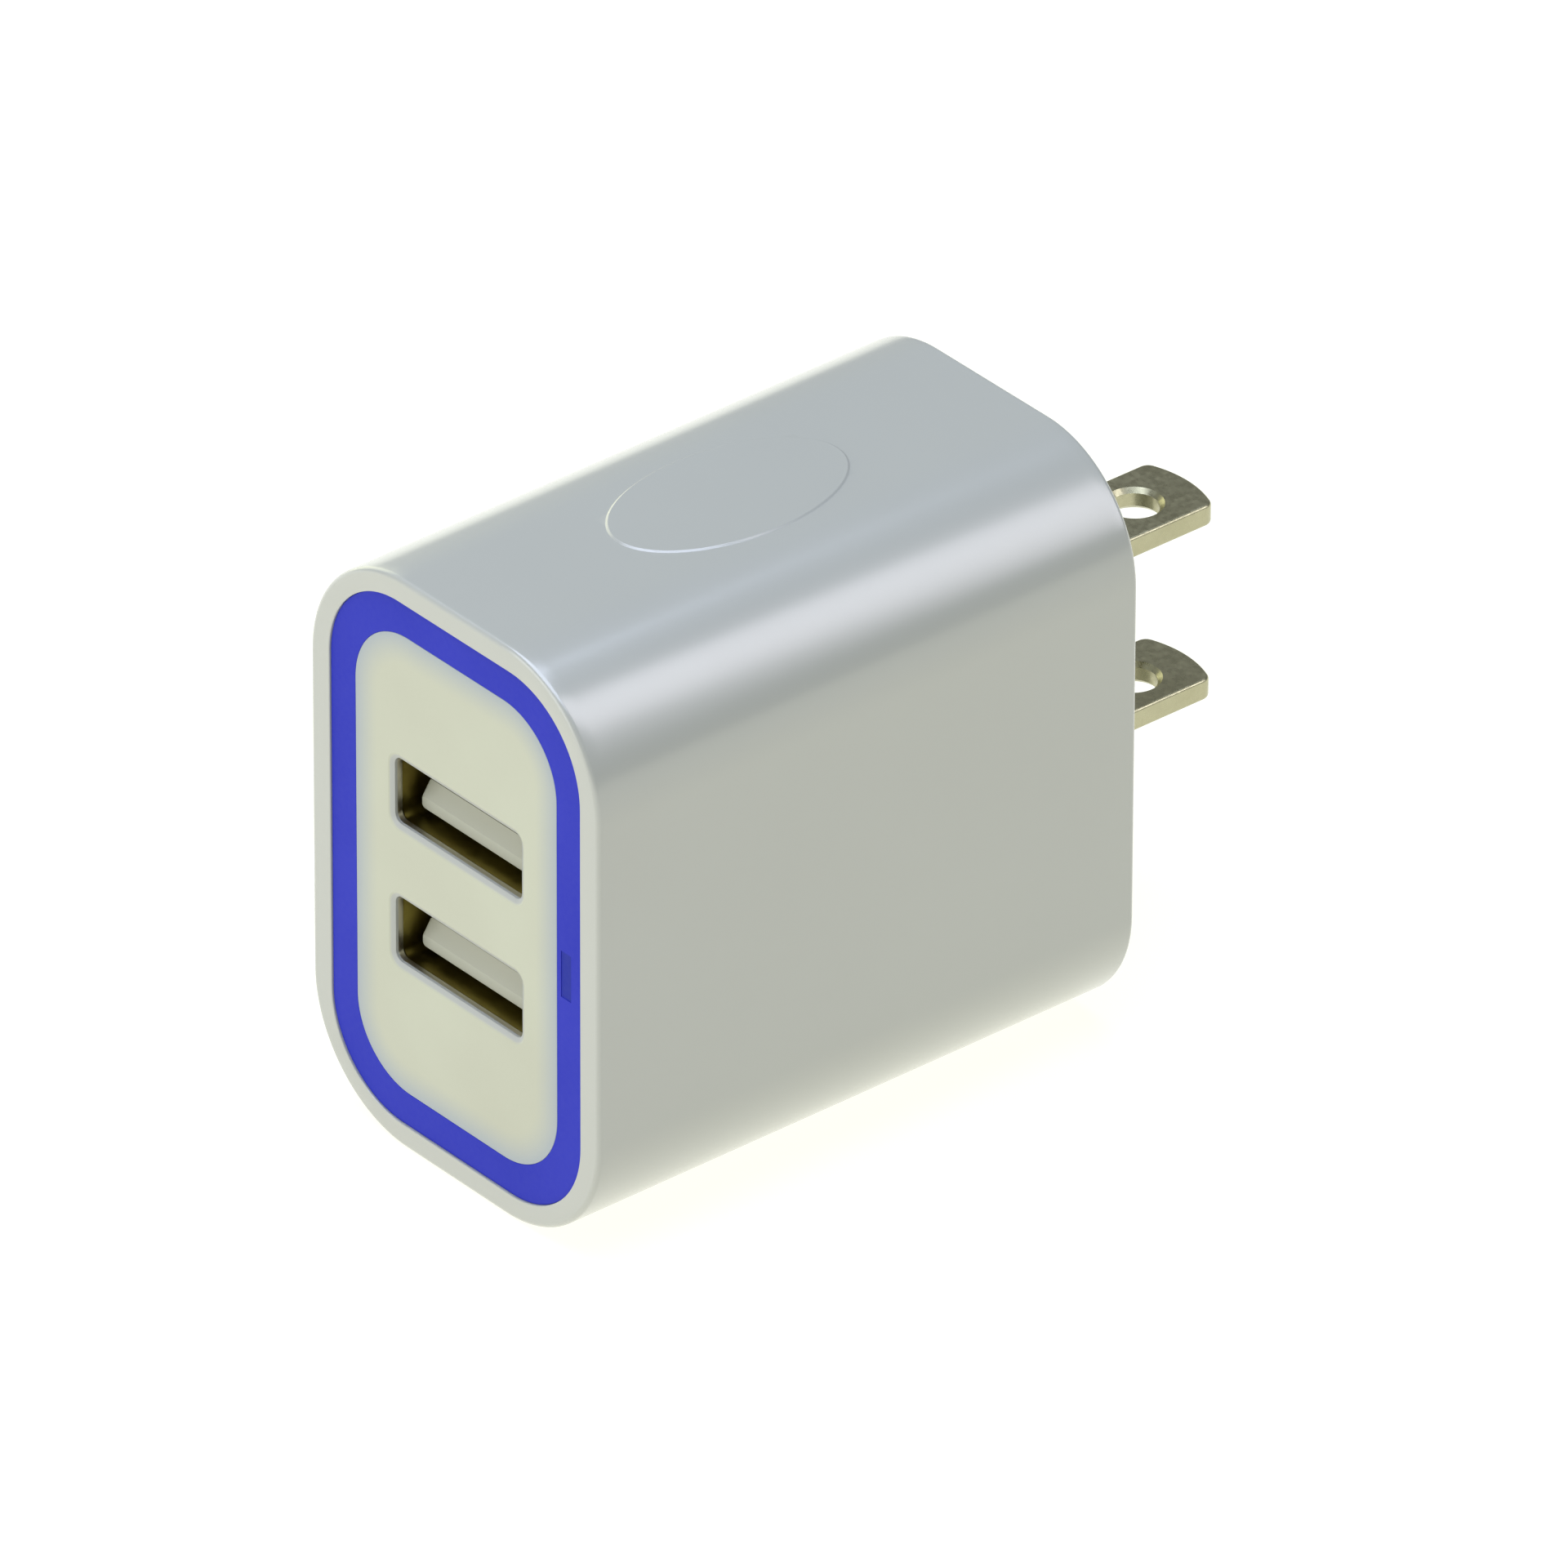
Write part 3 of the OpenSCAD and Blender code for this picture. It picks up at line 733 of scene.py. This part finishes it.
class Finishes:
    """Every material of the charger, by the record's slot name, built when first asked for."""

    TABLE: dict[str, Finish] = {
        "white_housing": Moulded(
            "glossy white plastic", (0.462, 0.471, 0.418), (0.455, 0.463, 0.411), rough=0.3,
            rough_spread=0.02, relief=6e-7, coat=1.0, coat_rough=0.2, coat_ior=1.75,
        ),
        "ivory_panel": IvoryPanel(
            "ivory panel", (0.53, 0.535, 0.418), (0.565, 0.578, 0.45), rough=0.38,
        ),
        "blue_ring": BlueRing(
            "blue ring", (0.024, 0.033, 0.45), (0.034, 0.043, 0.50), rough=0.5, relief=2.5e-6,
            gloss=0.12,
        ),
        "clear_guide": Moulded("clear guide", (0.80, 0.86, 0.92), (0.74, 0.82, 0.9), rough=0.12),
        "led": Moulded("led lens", (0.85, 0.80, 0.40), (0.80, 0.72, 0.30), rough=0.3),
        "plated_steel": ShellSteel(
            "plated shell steel", (0.32, 0.26, 0.06), (0.22, 0.17, 0.035), rough=0.36,
            relief=2e-6,
        ),
        "white_insulator": Moulded(
            "white insulator", (0.62, 0.63, 0.53), (0.59, 0.60, 0.50), rough=0.45,
        ),
        "gold_contact": PlatedMetal(
            "gold flashed contact", (0.75, 0.55, 0.22), (0.6, 0.42, 0.15), rough=0.25,
        ),
        "board": CircuitBoard("green board", (0.02, 0.12, 0.05), (0.03, 0.18, 0.07)),
        "solder": PlatedMetal("solder", (0.62, 0.63, 0.65), (0.45, 0.46, 0.48), rough=0.3),
        "chip_body": Moulded(
            "chip body", (0.02, 0.02, 0.022), (0.03, 0.03, 0.03), rough=0.5, relief=4e-6,
        ),
        "ferrite": Moulded(
            "ferrite", (0.045, 0.045, 0.05), (0.065, 0.065, 0.07), rough=0.6, relief=8e-6,
        ),
        "dark_plastic": Moulded(
            "dark plastic", (0.03, 0.03, 0.032), (0.04, 0.04, 0.042), rough=0.4,
        ),
        "copper": WoundWire("enamelled copper", (0.62, 0.24, 0.09), (0.25, 0.08, 0.03)),
        "tape": Moulded("yellow tape", (0.72, 0.52, 0.07), (0.66, 0.46, 0.05), rough=0.3, coat=0.4),
        "can_metal": PlatedMetal("can metal", (0.72, 0.73, 0.75), (0.6, 0.61, 0.63), rough=0.25),
        "input_sleeve": Moulded(
            "blue sleeve", (0.015, 0.02, 0.09), (0.02, 0.027, 0.11), rough=0.25,
        ),
        "output_sleeve": Moulded(
            "green sleeve", (0.01, 0.05, 0.03), (0.015, 0.065, 0.04), rough=0.25,
        ),
        "resistor_coat": Moulded("resistor coat", (0.10, 0.2, 0.13), (0.12, 0.23, 0.15), rough=0.6),
        "disc_coat": Moulded("disc coat", (0.02, 0.08, 0.3), (0.03, 0.10, 0.34), rough=0.2),
        "chip_capacitor": Moulded(
            "chip capacitor", (0.38, 0.26, 0.14), (0.42, 0.3, 0.17), rough=0.4,
        ),
        "sheet": Moulded("insulating sheet", (0.75, 0.72, 0.52), (0.72, 0.69, 0.49), rough=0.35),
        "nickel_blade": PlatedMetal(
            "nickel-plated blade", (0.47, 0.45, 0.30), (0.43, 0.41, 0.265), rough=0.3,
            grain=2600.0, relief=1.5e-6, pit_depth=2.2e-6,
        ),
        "brass_strap": PlatedMetal(
            "brass strap", (0.70, 0.50, 0.20), (0.55, 0.38, 0.13), rough=0.3,
        ),
    }
    _made: dict[str, bpy.types.Material] = {}

    @classmethod
    def get(cls, slot: str) -> bpy.types.Material:
        """The material of a slot."""
        if slot not in cls._made:
            cls._made[slot] = cls.TABLE[slot].build()
        return cls._made[slot]


def dress(obj: Object, slot: str) -> Object:
    """Gives an object one material, by slot name."""
    obj.data.materials.clear()
    obj.data.materials.append(Finishes.get(slot))
    return obj


def settle(obj: Object, slot: str, body: Body, *nodes: str) -> Object:
    """Dresses a finished piece, rides it on its body and hides the nodes it stands for.

    Args:
        obj: The finished piece.
        slot: Name of its material slot in the record.
        body: The rigid body it moves with.
        *nodes: CAD nodes it stands for.

    Returns:
        The same object.
    """
    dress(obj, slot)
    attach(obj, body.value)
    if nodes:
        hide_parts(*nodes)
    LOG.info("%s: %d faces, rides on %s", obj.name, len(obj.data.polygons), body.value)
    return obj


# ---------------------------------------------------------------- sub-assemblies


@dataclass
class Housing:
    """The white rounded block, open at the port side, with its blade slots and top oval.

    Sizes are in mm. The outer outline narrows a little towards the outlet face.
    """

    front: Size = (27.65, 41.0, 9.0)
    back: Size = (27.6, 40.84, 8.5)
    front_y: float = -43.0
    cavity_rows: tuple[float, ...] = (-2.2, -8.0, -39.0)
    side_rows: tuple[float, ...] = (-41.8, *np.linspace(-40, -3, 8), -1.0)
    cavity: Size = (24.0, 37.66, 6.68)
    rim_r: float = 0.36
    lip_r: float = 0.08
    back_r: float = 0.36
    slot: Pair = (6.45, 1.6)
    slot_y: Pair = (-5.0, 1.0)
    oval: Size = (10.2, 17.6, 0.1)
    oval_y: float = -21.3
    oval_slope: float = 0.2
    oval_sink: float = 0.004
    back_flat: float = 0.4

    def _outer(self, y: float, inset: float) -> Array:
        """The outer loop at depth y, drawn in by inset: size falls evenly from front to back."""
        share = 1 - y / self.front_y
        size = tuple(a * (1 - share) + b * share for a, b in zip(self.front, self.back))
        return at_depth(grown(size, -inset, WALL_STEPS), y)

    def _inner(self, y: float, grow: float) -> Array:
        """The cavity loop at depth y, widened by grow."""
        return at_depth(grown(self.cavity, grow, WALL_STEPS), y)

    def shell(self) -> Object:
        """Carries the wall's section round the outline.

        The section runs from the cavity's floor along the inner wall, round the lip's
        quarter circle, across the rim, round the outer quarter circle, along the side
        and round the back's quarter circle.
        """
        front = self.front_y
        loops = [self._inner(y, 0) for y in self.cavity_rows]
        lip, rim, back = self.lip_r, self.rim_r, self.back_r
        loops += [
            self._inner(front + lip * (1 - b), lip * (1 - a)) for a, b in zip(*fillet(0, 90, 5))
        ]
        loops += [
            self._outer(front + rim * (1 - b), rim * (1 - a)) for a, b in zip(*fillet(90, 0, 9))
        ]
        loops += [self._outer(y, 0) for y in self.side_rows]
        loops += [self._outer(-back * (1 - b), back * (1 - a)) for a, b in zip(*fillet(0, 90, 10))]
        loops.append(self._outer(0.0, back + self.back_flat))
        return solid("housing_shell", loops)

    def oval_pad(self) -> Object:
        """A low oval pad that follows the top's fall.

        It is a stack of ellipses that shrink evenly while half a cosine lifts them.
        """
        unit = unit_circle(160)
        width, length, step = self.oval
        rows = [(-0.5, 0.0)]
        rows += [
            (step * (1 - math.cos(math.pi * f)) / 2, -self.oval_slope * f)
            for f in np.linspace(0, 1, 7)
        ]
        loops = []
        for lift, grow in rows:
            flat = unit * [width / 2 + grow, length / 2 + grow] + [0, self.oval_y]
            share = 1 - flat[:, 1] / self.front_y
            top = (self.front[1] * (1 - share) + self.back[1] * share) / 2
            loops.append(np.column_stack([flat, top + lift - self.oval_sink]))
        return solid("oval_pad", loops)

    def build(self) -> None:
        """Builds, cuts, dresses and rides the housing."""
        (w, t), (y0, y1) = self.slot, self.slot_y
        tools = [
            box_tool("slot_tool", (-w / 2, y0, z - t / 2), (w / 2, y1, z + t / 2))
            for z in (BLADE_Z, -BLADE_Z)
        ]
        shell = cut(cut(self.shell(), tools), [self.oval_pad()], Join.ADD)
        settle(smooth(shell), "white_housing", Body.CHARGER, "housing")


@dataclass
class PortFace:
    """The blue ring and the ivory panel inside it."""

    y: float = -42.85
    ring: Size = (23.97, 37.63, 6.66)
    ring_inner: Size = (19.28, 32.94, 5.1)
    ring_t: float = 3.0
    edge_r: float = 0.03
    pocket: tuple[float, float, float, float, float] = (10.52, -0.5, 0.95, 3.3, 0.04)
    gap: float = 0.01
    flange_t: float = 1.2
    tool_past: float = 3.0
    opening: Size = (12.2, 4.7, 0.6)
    mouth: Pair = (0.42, 0.2)
    shell_hole: Size = (13.1, 5.72, 0.9)
    lip: float = 0.4

    def _section(self, size: Size, sign: int) -> list[Array]:
        """Front edge loops: a quarter circle from the side wall (first) to the face (last)."""
        e = self.edge_r
        return [
            at_depth(grown(size, sign * e * (a - 1), FACE_STEPS), self.y + e * (1 - b))
            for a, b in zip(*fillet(0, 90, 4))
        ]

    def light_ring(self) -> None:
        """A band with quarter-circle edges, closed through its back, and the pocket cut out."""
        outer, inner = self._section(self.ring, 1), self._section(self.ring_inner, -1)
        back_y = self.y + self.ring_t
        sizes = (self.ring_inner, self.ring)
        backs = [at_depth(grown(size, 0, FACE_STEPS), back_y) for size in sizes]
        verts, faces = stack_loops([*outer, *inner[::-1], *backs], True)
        x, z, w, h, depth = self.pocket
        low, high = (x - w / 2, self.y - 1, z - h / 2), (x + w / 2, self.y + depth, z + h / 2)
        tool = box_tool("pocket_tool", low, high)
        ring = cut(raw_object("blue_light_ring", verts, faces), [tool])
        settle(smooth(ring), "blue_ring", Body.CHARGER, "light_ring")

    def mouth_tool(self, z: float) -> Object:
        """Opening with a sloping mouth that widens evenly to the face, with a soft last edge."""
        m, deep = self.mouth
        slope = ((0.0, 0.0), (0.1, 0.15), (0.5, 0.56), (0.85, 0.9), (0.95, 0.97), (1.0, 0.995))
        rows = [(0.0, self.y + self.ring_t + self.tool_past)]
        rows += [(m * a, self.y + deep * (1 - b)) for a, b in slope]
        rows.append((m, self.y - 1))
        loops = [at_depth(grown(self.opening, g, HOLE_STEPS), y, 0, z) for g, y in rows]
        return solid("mouth_tool", loops)

    def panel(self) -> None:
        """The panel's raised face and the flange behind the ring, with both ports cut through."""
        boss = tuple(a - b * self.gap for a, b in zip(self.ring_inner, (2, 2, 1)))
        flange_y = self.y + self.ring_t
        rows = ((boss, flange_y), (self.ring, flange_y), (self.ring, flange_y + self.flange_t))
        loops = self._section(boss, 1)[::-1]
        loops += [at_depth(grown(size, 0, FACE_STEPS), y) for size, y in rows]
        face = solid("ivory_front_panel", loops)
        tools = []
        hole = grown(self.shell_hole, 0, HOLE_STEPS)
        for z in (PORT_Z, -PORT_Z):
            tools.append(self.mouth_tool(z))
            depths = (self.y + self.lip, flange_y + self.tool_past)
            back = [at_depth(hole, y, 0, z) for y in depths]
            tools.append(solid("shell_tool", back))
        settle(smooth(cut(face, tools)), "ivory_panel", Body.CHARGER, "front_panel")

    def build(self) -> None:
        """Builds the ring and the panel."""
        self.light_ring()
        self.panel()


@dataclass
class Port:
    """One USB-A receptacle: metal shell, tongue and four leaf springs."""

    z: float
    side: str
    springs: Body
    shell_in: Size = (12.5, 5.12, 0.6)
    mouth: Size = (12.2, 4.7, 0.6)
    sheet: float = 0.3
    shell_y: Pair = (-42.45, -28.0)
    lip: float = 0.35
    flare: float = 0.25
    soft: float = 0.1
    tongue: tuple[float, float, float, float] = (11.3, -1.87, 1.84, -40.95)
    tongue_round: Pair = (0.12, 0.3)
    into_base: float = 0.3
    lead_in: Pair = (0.65, 0.98)
    groove: Size = (1.4, -1.15, -40.2)
    pin_z: float = -0.75
    base_y: float = -32.6
    contact_xs: tuple[float, ...] = (-3.5, -1.0, 1.0, 3.5)
    contact_w: float = 1.0
    contact_t: float = 0.2
    contact_edge: float = 0.05
    leaf: tuple[Pair, ...] = (
        (-33.0, -0.6), (-35.6, -0.42), (-38.1, 0.22), (-38.8, 0.42), (-39.3, 0.3), (-39.85, -0.25),
    )
    window: tuple[float, float, float, float] = (3.4, 1.0, -39.6, -34.4)
    finger_y: Pair = (-34.3, -39.2)
    finger_half: Pair = (0.7, 0.13)
    finger_dip: Size = (0.26, 0.25, 0.8)
    leg: Size = (0.6, 0.2, 2.0)
    pin_half: float = 0.3

    def shell(self) -> None:
        """Closed sheet section: in along the inner wall with a turned lip, back along the outer."""
        w, h, _ = self.shell_in
        y0, y1 = self.shell_y
        t = self.sheet
        flare, soft = y0 + self.lip + self.flare, self.soft
        rows = [(self.mouth, 0.0, y0), (self.mouth, 0.0, y0 + self.lip)]
        rows += [(self.shell_in, 0.0, y) for y in (flare, y1)] + [(self.shell_in, t, y1)]
        rows += [(self.shell_in, t, y0 + soft), (self.shell_in, t - soft, y0)]
        loops = [at_depth(grown(size, g, (10, 6)), y, 0, self.z) for size, g, y in rows]
        verts, faces = stack_loops(loops, True)
        body = raw_object(f"{self.side}_shell_sheet", verts, faces)
        tools, fingers = [], []
        wx, half, front, back = self.window
        for sx in (-1, 1):
            for sz in (-1, 1):
                x = sx * wx
                low = (x - half, front, self.z + sz * (h / 2 - t))
                high = (x + half, back, self.z + sz * (h / 2 + 1))
                tools.append(box_tool("window_tool", low, high))
                fingers.append(self.finger(x, sz))
        body = cut(body, tools)
        half, overlap, run = self.leg
        legs = [
            box_tool(
                "leg",
                (sx * w / 2, y1 - overlap, self.z - half),
                (sx * (w / 2 + t), y1 + run, self.z + half),
            )
            for sx in (-1, 1)
        ]
        made = merge(f"{self.side}_shell", [body, *fingers, *legs])
        settle(smooth(made), "plated_steel", Body.CHARGER, f"{self.side}_port_shell")

    def finger(self, x: float, sz: int) -> Object:
        """A spring finger cut from the sheet.

        Its middle line dips inwards along half a cosine up to the bend, then lifts
        evenly to the tip.

        Args:
            x: Place across the port, in mm.
            sz: 1 for the upper wall, -1 for the lower.

        Returns:
            The finger as a closed object.
        """
        s = np.linspace(0, 1, 13)
        depth, lift, bend = self.finger_dip
        y = self.finger_y[0] + (self.finger_y[1] - self.finger_y[0]) * s
        dip = depth * (1 - np.cos(math.pi * np.minimum(s / bend, 1))) / 2
        dip -= lift * np.maximum(s - bend, 0)
        mid = self.z + sz * (self.shell_in[1] / 2 + self.sheet / 2 - dip)
        corners = np.array([[-1, -1], [1, -1], [1, 1], [-1, 1]]) * self.finger_half
        loops = [at_depth(corners, b, x, m) for b, m in zip(y, mid)]
        return solid("finger", loops)

    def tongue_piece(self) -> None:
        """Tongue and base: a rounded bar whose top slopes back from the front, grooves on top.

        The bar is a rounded rectangle carried back; its height grows evenly over the
        lead-in, its underside stays level, and its front edge is a quarter circle.
        """
        w, z0, t, y0 = self.tongue
        run, rise = self.lead_in
        e, r = self.tongue_round
        rows = [(e * (1 - q), e * (1 - p)) for p, q in zip(*fillet(90, 0, 4))]
        rows += [(run * f, 0.0) for f in np.linspace(0.3, 1, 5)]
        rows.append((self.base_y + self.into_base - y0, 0.0))
        loops = []
        for back, inset in rows:
            h = t - rise + rise * min(back / run, 1) - inset
            flat = outline(w - 2 * inset, h, r - inset / 2, 8, 6)
            loops.append(at_depth(flat, y0 + back, 0, self.z + z0 + inset + h / 2))
        blade = solid("tongue", loops)
        gw, floor, gy = self.groove
        grooves, pins = [], []
        half, y1, pin_z = self.pin_half, self.shell_y[1], self.z + self.pin_z
        for x in self.contact_xs:
            low, high = (x - gw / 2, gy, self.z + floor), (x + gw / 2, self.base_y, self.z + 1)
            grooves.append(box_tool("groove_tool", low, high))
            low, high = (x - half, self.base_y - 1, pin_z), (x + half, y1 + 1, pin_z + half)
            pins.append(box_tool("pin_tool", low, high))
        blade = cut(blade, grooves)
        block = grown(self.shell_in, 0, (8, 4))
        ends = [at_depth(block, y, 0, self.z) for y in (self.base_y, y1)]
        base = solid("base", ends)
        made = merge(f"{self.side}_tongue", [blade, cut(base, pins)])
        settle(smooth(made), "white_insulator", Body.CHARGER, f"{self.side}_port_tongue")

    def contacts(self) -> None:
        """Four bowed leaves: each a thin strip along one smooth curve, rounded at its edges."""
        line = smooth_line(self.leaf, 36)
        along = np.gradient(line, axis=0)
        along /= np.linalg.norm(along, axis=1)[:, None]
        normal = np.column_stack([-along[:, 1], along[:, 0]])
        hw, ht, e = self.contact_w / 2, self.contact_t / 2, self.contact_edge
        half = np.array([[-hw, -ht + e], [-hw + e, -ht], [hw - e, -ht], [hw, -ht + e]])
        sec = np.vstack([half, -half])
        leaves = []
        for x in self.contact_xs:
            pos = line[:, None] + normal[:, None] * sec[None, :, 1:]
            xs = np.broadcast_to(x + sec[None, :, :1], (len(line), len(sec), 1))
            grid = np.concatenate([xs, pos[..., :1], pos[..., 1:] + self.z], -1)
            leaves.append(solid("leaf", list(grid)))
        made = merge(f"{self.side}_contacts", leaves)
        settle(smooth(made), "gold_contact", self.springs, f"{self.side}_port_contacts")

    def build(self) -> None:
        """Builds the port's pieces."""
        self.shell()
        self.tongue_piece()
        self.contacts()


@dataclass
class Blade:
    """One flat outlet blade: arched tip, rounded corners, bevelled edges and a hole."""

    z: float
    side: str
    w: float = 6.35
    t: float = 1.5
    out: float = 16.0
    tip_r: float = 7.5
    corner_r: float = 0.8
    bevel: float = 0.22
    hole: Pair = (11.6, 1.6)
    hole_bevel: float = 0.3
    root: Size = (8.4, -5.2, -2.9)
    tail: Pair = (4.0, -8.2)
    side_start: float = -2.0
    side_gap: float = 0.4
    bevel_start: float = -2.5
    hidden_bevel: float = 0.05

    def plan(self) -> Array:
        """Outline in plan: tail and root steps, straight sides, corner arcs and the tip's arc.

        Each corner circle touches the side and lies inside the tip's circle, so its
        centre is the two radii's difference away from the tip circle's centre.
        """
        hw, r = self.w / 2, self.corner_r
        big = self.tip_r
        cy = self.out - big
        corner_x = hw - r
        corner_y = cy + math.sqrt((big - r) ** 2 - corner_x**2)
        join = math.atan2(corner_y - cy, corner_x)
        a = np.linspace(0, join, 9)
        corner = np.column_stack([corner_x + r * np.cos(a), corner_y + r * np.sin(a)])
        b = np.linspace(join, math.pi / 2, 12)[1:]
        arch = np.column_stack([big * np.cos(b), cy + big * np.sin(b)])
        hr, y0, y1 = self.root[0] / 2, self.root[1], self.root[2]
        ht, yt = self.tail[0] / 2, self.tail[1]
        steps = [[ht, yt], [ht, y0], [hr, y0], [hr, y1], [hw, y1]]
        side_y = np.linspace(self.side_start, corner_y - self.side_gap, 12)
        side = np.column_stack([np.full(12, hw), side_y])
        right = np.vstack([steps, side, corner, arch])
        return np.vstack([right, (right[:-1] * [-1, 1])[::-1]])

    def build(self) -> None:
        """Builds the plate, bores the hole and settles it."""
        plan = self.plan()
        d = np.roll(plan, -1, 0) - np.roll(plan, 1, 0)
        normal = np.column_stack([d[:, 1], -d[:, 0]]) / np.linalg.norm(d, axis=1)[:, None]
        e = self.bevel * np.where(plan[:, 1] > self.bevel_start, 1.0, self.hidden_bevel)[:, None]
        rows = [
            (plan - normal * e * (1 - p), self.t / 2 - self.bevel * (1 - q))
            for p, q in zip(*fillet(0, 90, 4))
        ]
        loops = [at_height(loop, self.z - rise) for loop, rise in rows[::-1]]
        loops += [at_height(loop, self.z + rise) for loop, rise in rows]
        plate = solid(f"{self.side}_outlet_blade", loops)
        y, r = self.hole
        unit = unit_circle(72)
        m, top = self.hole_bevel, self.t / 2
        flare = [(top + m, r + 2 * m), (top, r + m), (top - m, r)]
        rows = [(-h, q) for h, q in flare] + flare[::-1]
        loops = [at_height(unit * q, self.z + h, 0, y) for h, q in rows]
        bore = solid("bore_tool", loops)
        settle(smooth(cut(plate, [bore]), 40), "nickel_blade", Body.CHARGER, f"{self.side}_blade")


@dataclass
class Studio:
    """Pale floor, soft lights and the camera."""

    floor_z: float = -20.5
    floor_half: float = 3000.0
    floor_t: float = 5.0
    floor_gap: float = 0.02
    centre: Vec3 = (0.0, -21.5, 0.0)
    sky: Colour = (0.93, 0.97, 1.0)
    sky_strength: float = 0.28
    lens: float = 573.73
    sensor: float = 36.0
    clip: Pair = (0.05, 20.0)
    place: Vec3 = (998.94, -857.71, 813.56)
    forward: Vec3 = (-0.64881, 0.546206, -0.529815)
    right: Vec3 = (0.642612, 0.766186, 0.00295)

    def floor(self) -> None:
        """A wide flat floor of pale, softly glowing acrylic."""
        flat = np.array([[-1, -1], [1, -1], [1, 1], [-1, 1]]) * self.floor_half
        depths = (self.floor_t, self.floor_gap)
        loops = [at_height(flat, self.floor_z - depth) for depth in depths]
        obj = solid("floor", loops)
        s = Surface("pale floor").set(Roughness=0.8, Specular_IOR_Level=0.1)
        s.set(Emission_Strength=0.95, Emission_Color=(1.0, 1.0, 0.89))
        fine = s.group(Groups.grain(), Scale=200.0, Mottle_Scale=3.0)
        s.colour(s.mix(fine.outputs["Mottle"], (0.2, 0.2, 0.2), (0.22, 0.22, 0.22)))
        obj.data.materials.append(s.material)

    def light(
        self,
        name: str,
        toward: Sequence[float],
        distance: float,
        size: Pair,
        power: float,
        colour: Colour,
    ) -> Object:
        """Adds an area light that faces the object.

        Args:
            name: Name of the light.
            toward: Direction from the object's middle to the light.
            distance: How far away it stands, in mm.
            size: Width and height of the lit rectangle, in mm.
            power: Its power in watts.
            colour: Linear colour of the light.

        Returns:
            The light object.
        """
        data = bpy.data.lights.new(name, "AREA")
        data.shape, data.size, data.size_y = "RECTANGLE", size[0] * MM, size[1] * MM
        data.energy, data.color = power, colour
        obj = link_new(name, data)
        way = Vector(toward).normalized()
        obj.location = (way * distance + Vector(self.centre)) * MM
        obj.rotation_mode = "QUATERNION"
        obj.rotation_quaternion = way.to_track_quat("Z", "Y")
        return obj

    def camera(self) -> None:
        """A long lens from the port side, to the right and above."""
        data = bpy.data.cameras.new("camera")
        data.lens, data.sensor_width = self.lens, self.sensor
        data.clip_start, data.clip_end = self.clip
        obj = link_new("camera", data)
        forward, right = Vector(self.forward).normalized(), Vector(self.right)
        right = (right - forward * right.dot(forward)).normalized()
        up = right.cross(forward)
        turn = Matrix((right, up, -forward)).transposed().to_4x4()
        obj.matrix_world = Matrix.Translation(Vector(self.place) * MM) @ turn
        bpy.context.scene.camera = obj

    def world(self) -> None:
        """Even, slightly cool surroundings."""
        world = bpy.data.worlds.new("studio")
        world.use_nodes = True
        back = world.node_tree.nodes["Background"]
        back.inputs["Color"].default_value = (*self.sky, 1.0)
        back.inputs["Strength"].default_value = self.sky_strength
        bpy.context.scene.world = world

    def build(self) -> None:
        """Sets up the whole studio."""
        self.floor()
        self.world()
        strip = self.light(
            "back strip", (0.56, 0.55, 0.64), 420, (110, 360), 0.40, (1.0, 0.97, 1.06)
        )
        strip.visible_diffuse = False
        self.light("overhead", (-0.05, -0.08, 1.0), 500, (500, 500), 2.5, (0.865, 0.95, 1.19))
        self.light("left rim", (-0.95, 0.15, 0.3), 450, (300, 300), 0.38, (1.0, 1.0, 0.65))
        self.light("front", (-0.25, -0.95, 0.2), 500, (400, 400), 0.97, (1.0, 1.0, 0.96))
        self.camera()
        bpy.context.scene.view_settings.view_transform = "Standard"


def dress_frame(loaded: dict) -> None:
    """Gives every CAD node the finish of its material slot.
    """
    slots = {row["node"]: row["material_slot"] for row in loaded["record"]["subparts"]}
    for name, obj in loaded["nodes"].items():
        finish = Finishes.get(slots[name])
        if not obj.material_slots:
            obj.data.materials.append(finish)
        for place in obj.material_slots:
            place.material = finish
    LOG.info("dressed %d frame nodes", len(loaded["nodes"]))


def main(loaded: dict) -> None:
    """Builds the looks of the charger around the loaded frame.
    """
    logging.basicConfig(level=logging.INFO, format="%(name)s: %(message)s")
    dress_frame(loaded)
    Housing().build()
    PortFace().build()
    Port(PORT_Z, "upper", Body.UPPER_SPRINGS).build()
    Port(-PORT_Z, "lower", Body.LOWER_SPRINGS).build()
    Blade(BLADE_Z, "upper").build()
    Blade(-BLADE_Z, "lower").build()
    Studio().build()


if __name__ == "__main__":
    main(frame)
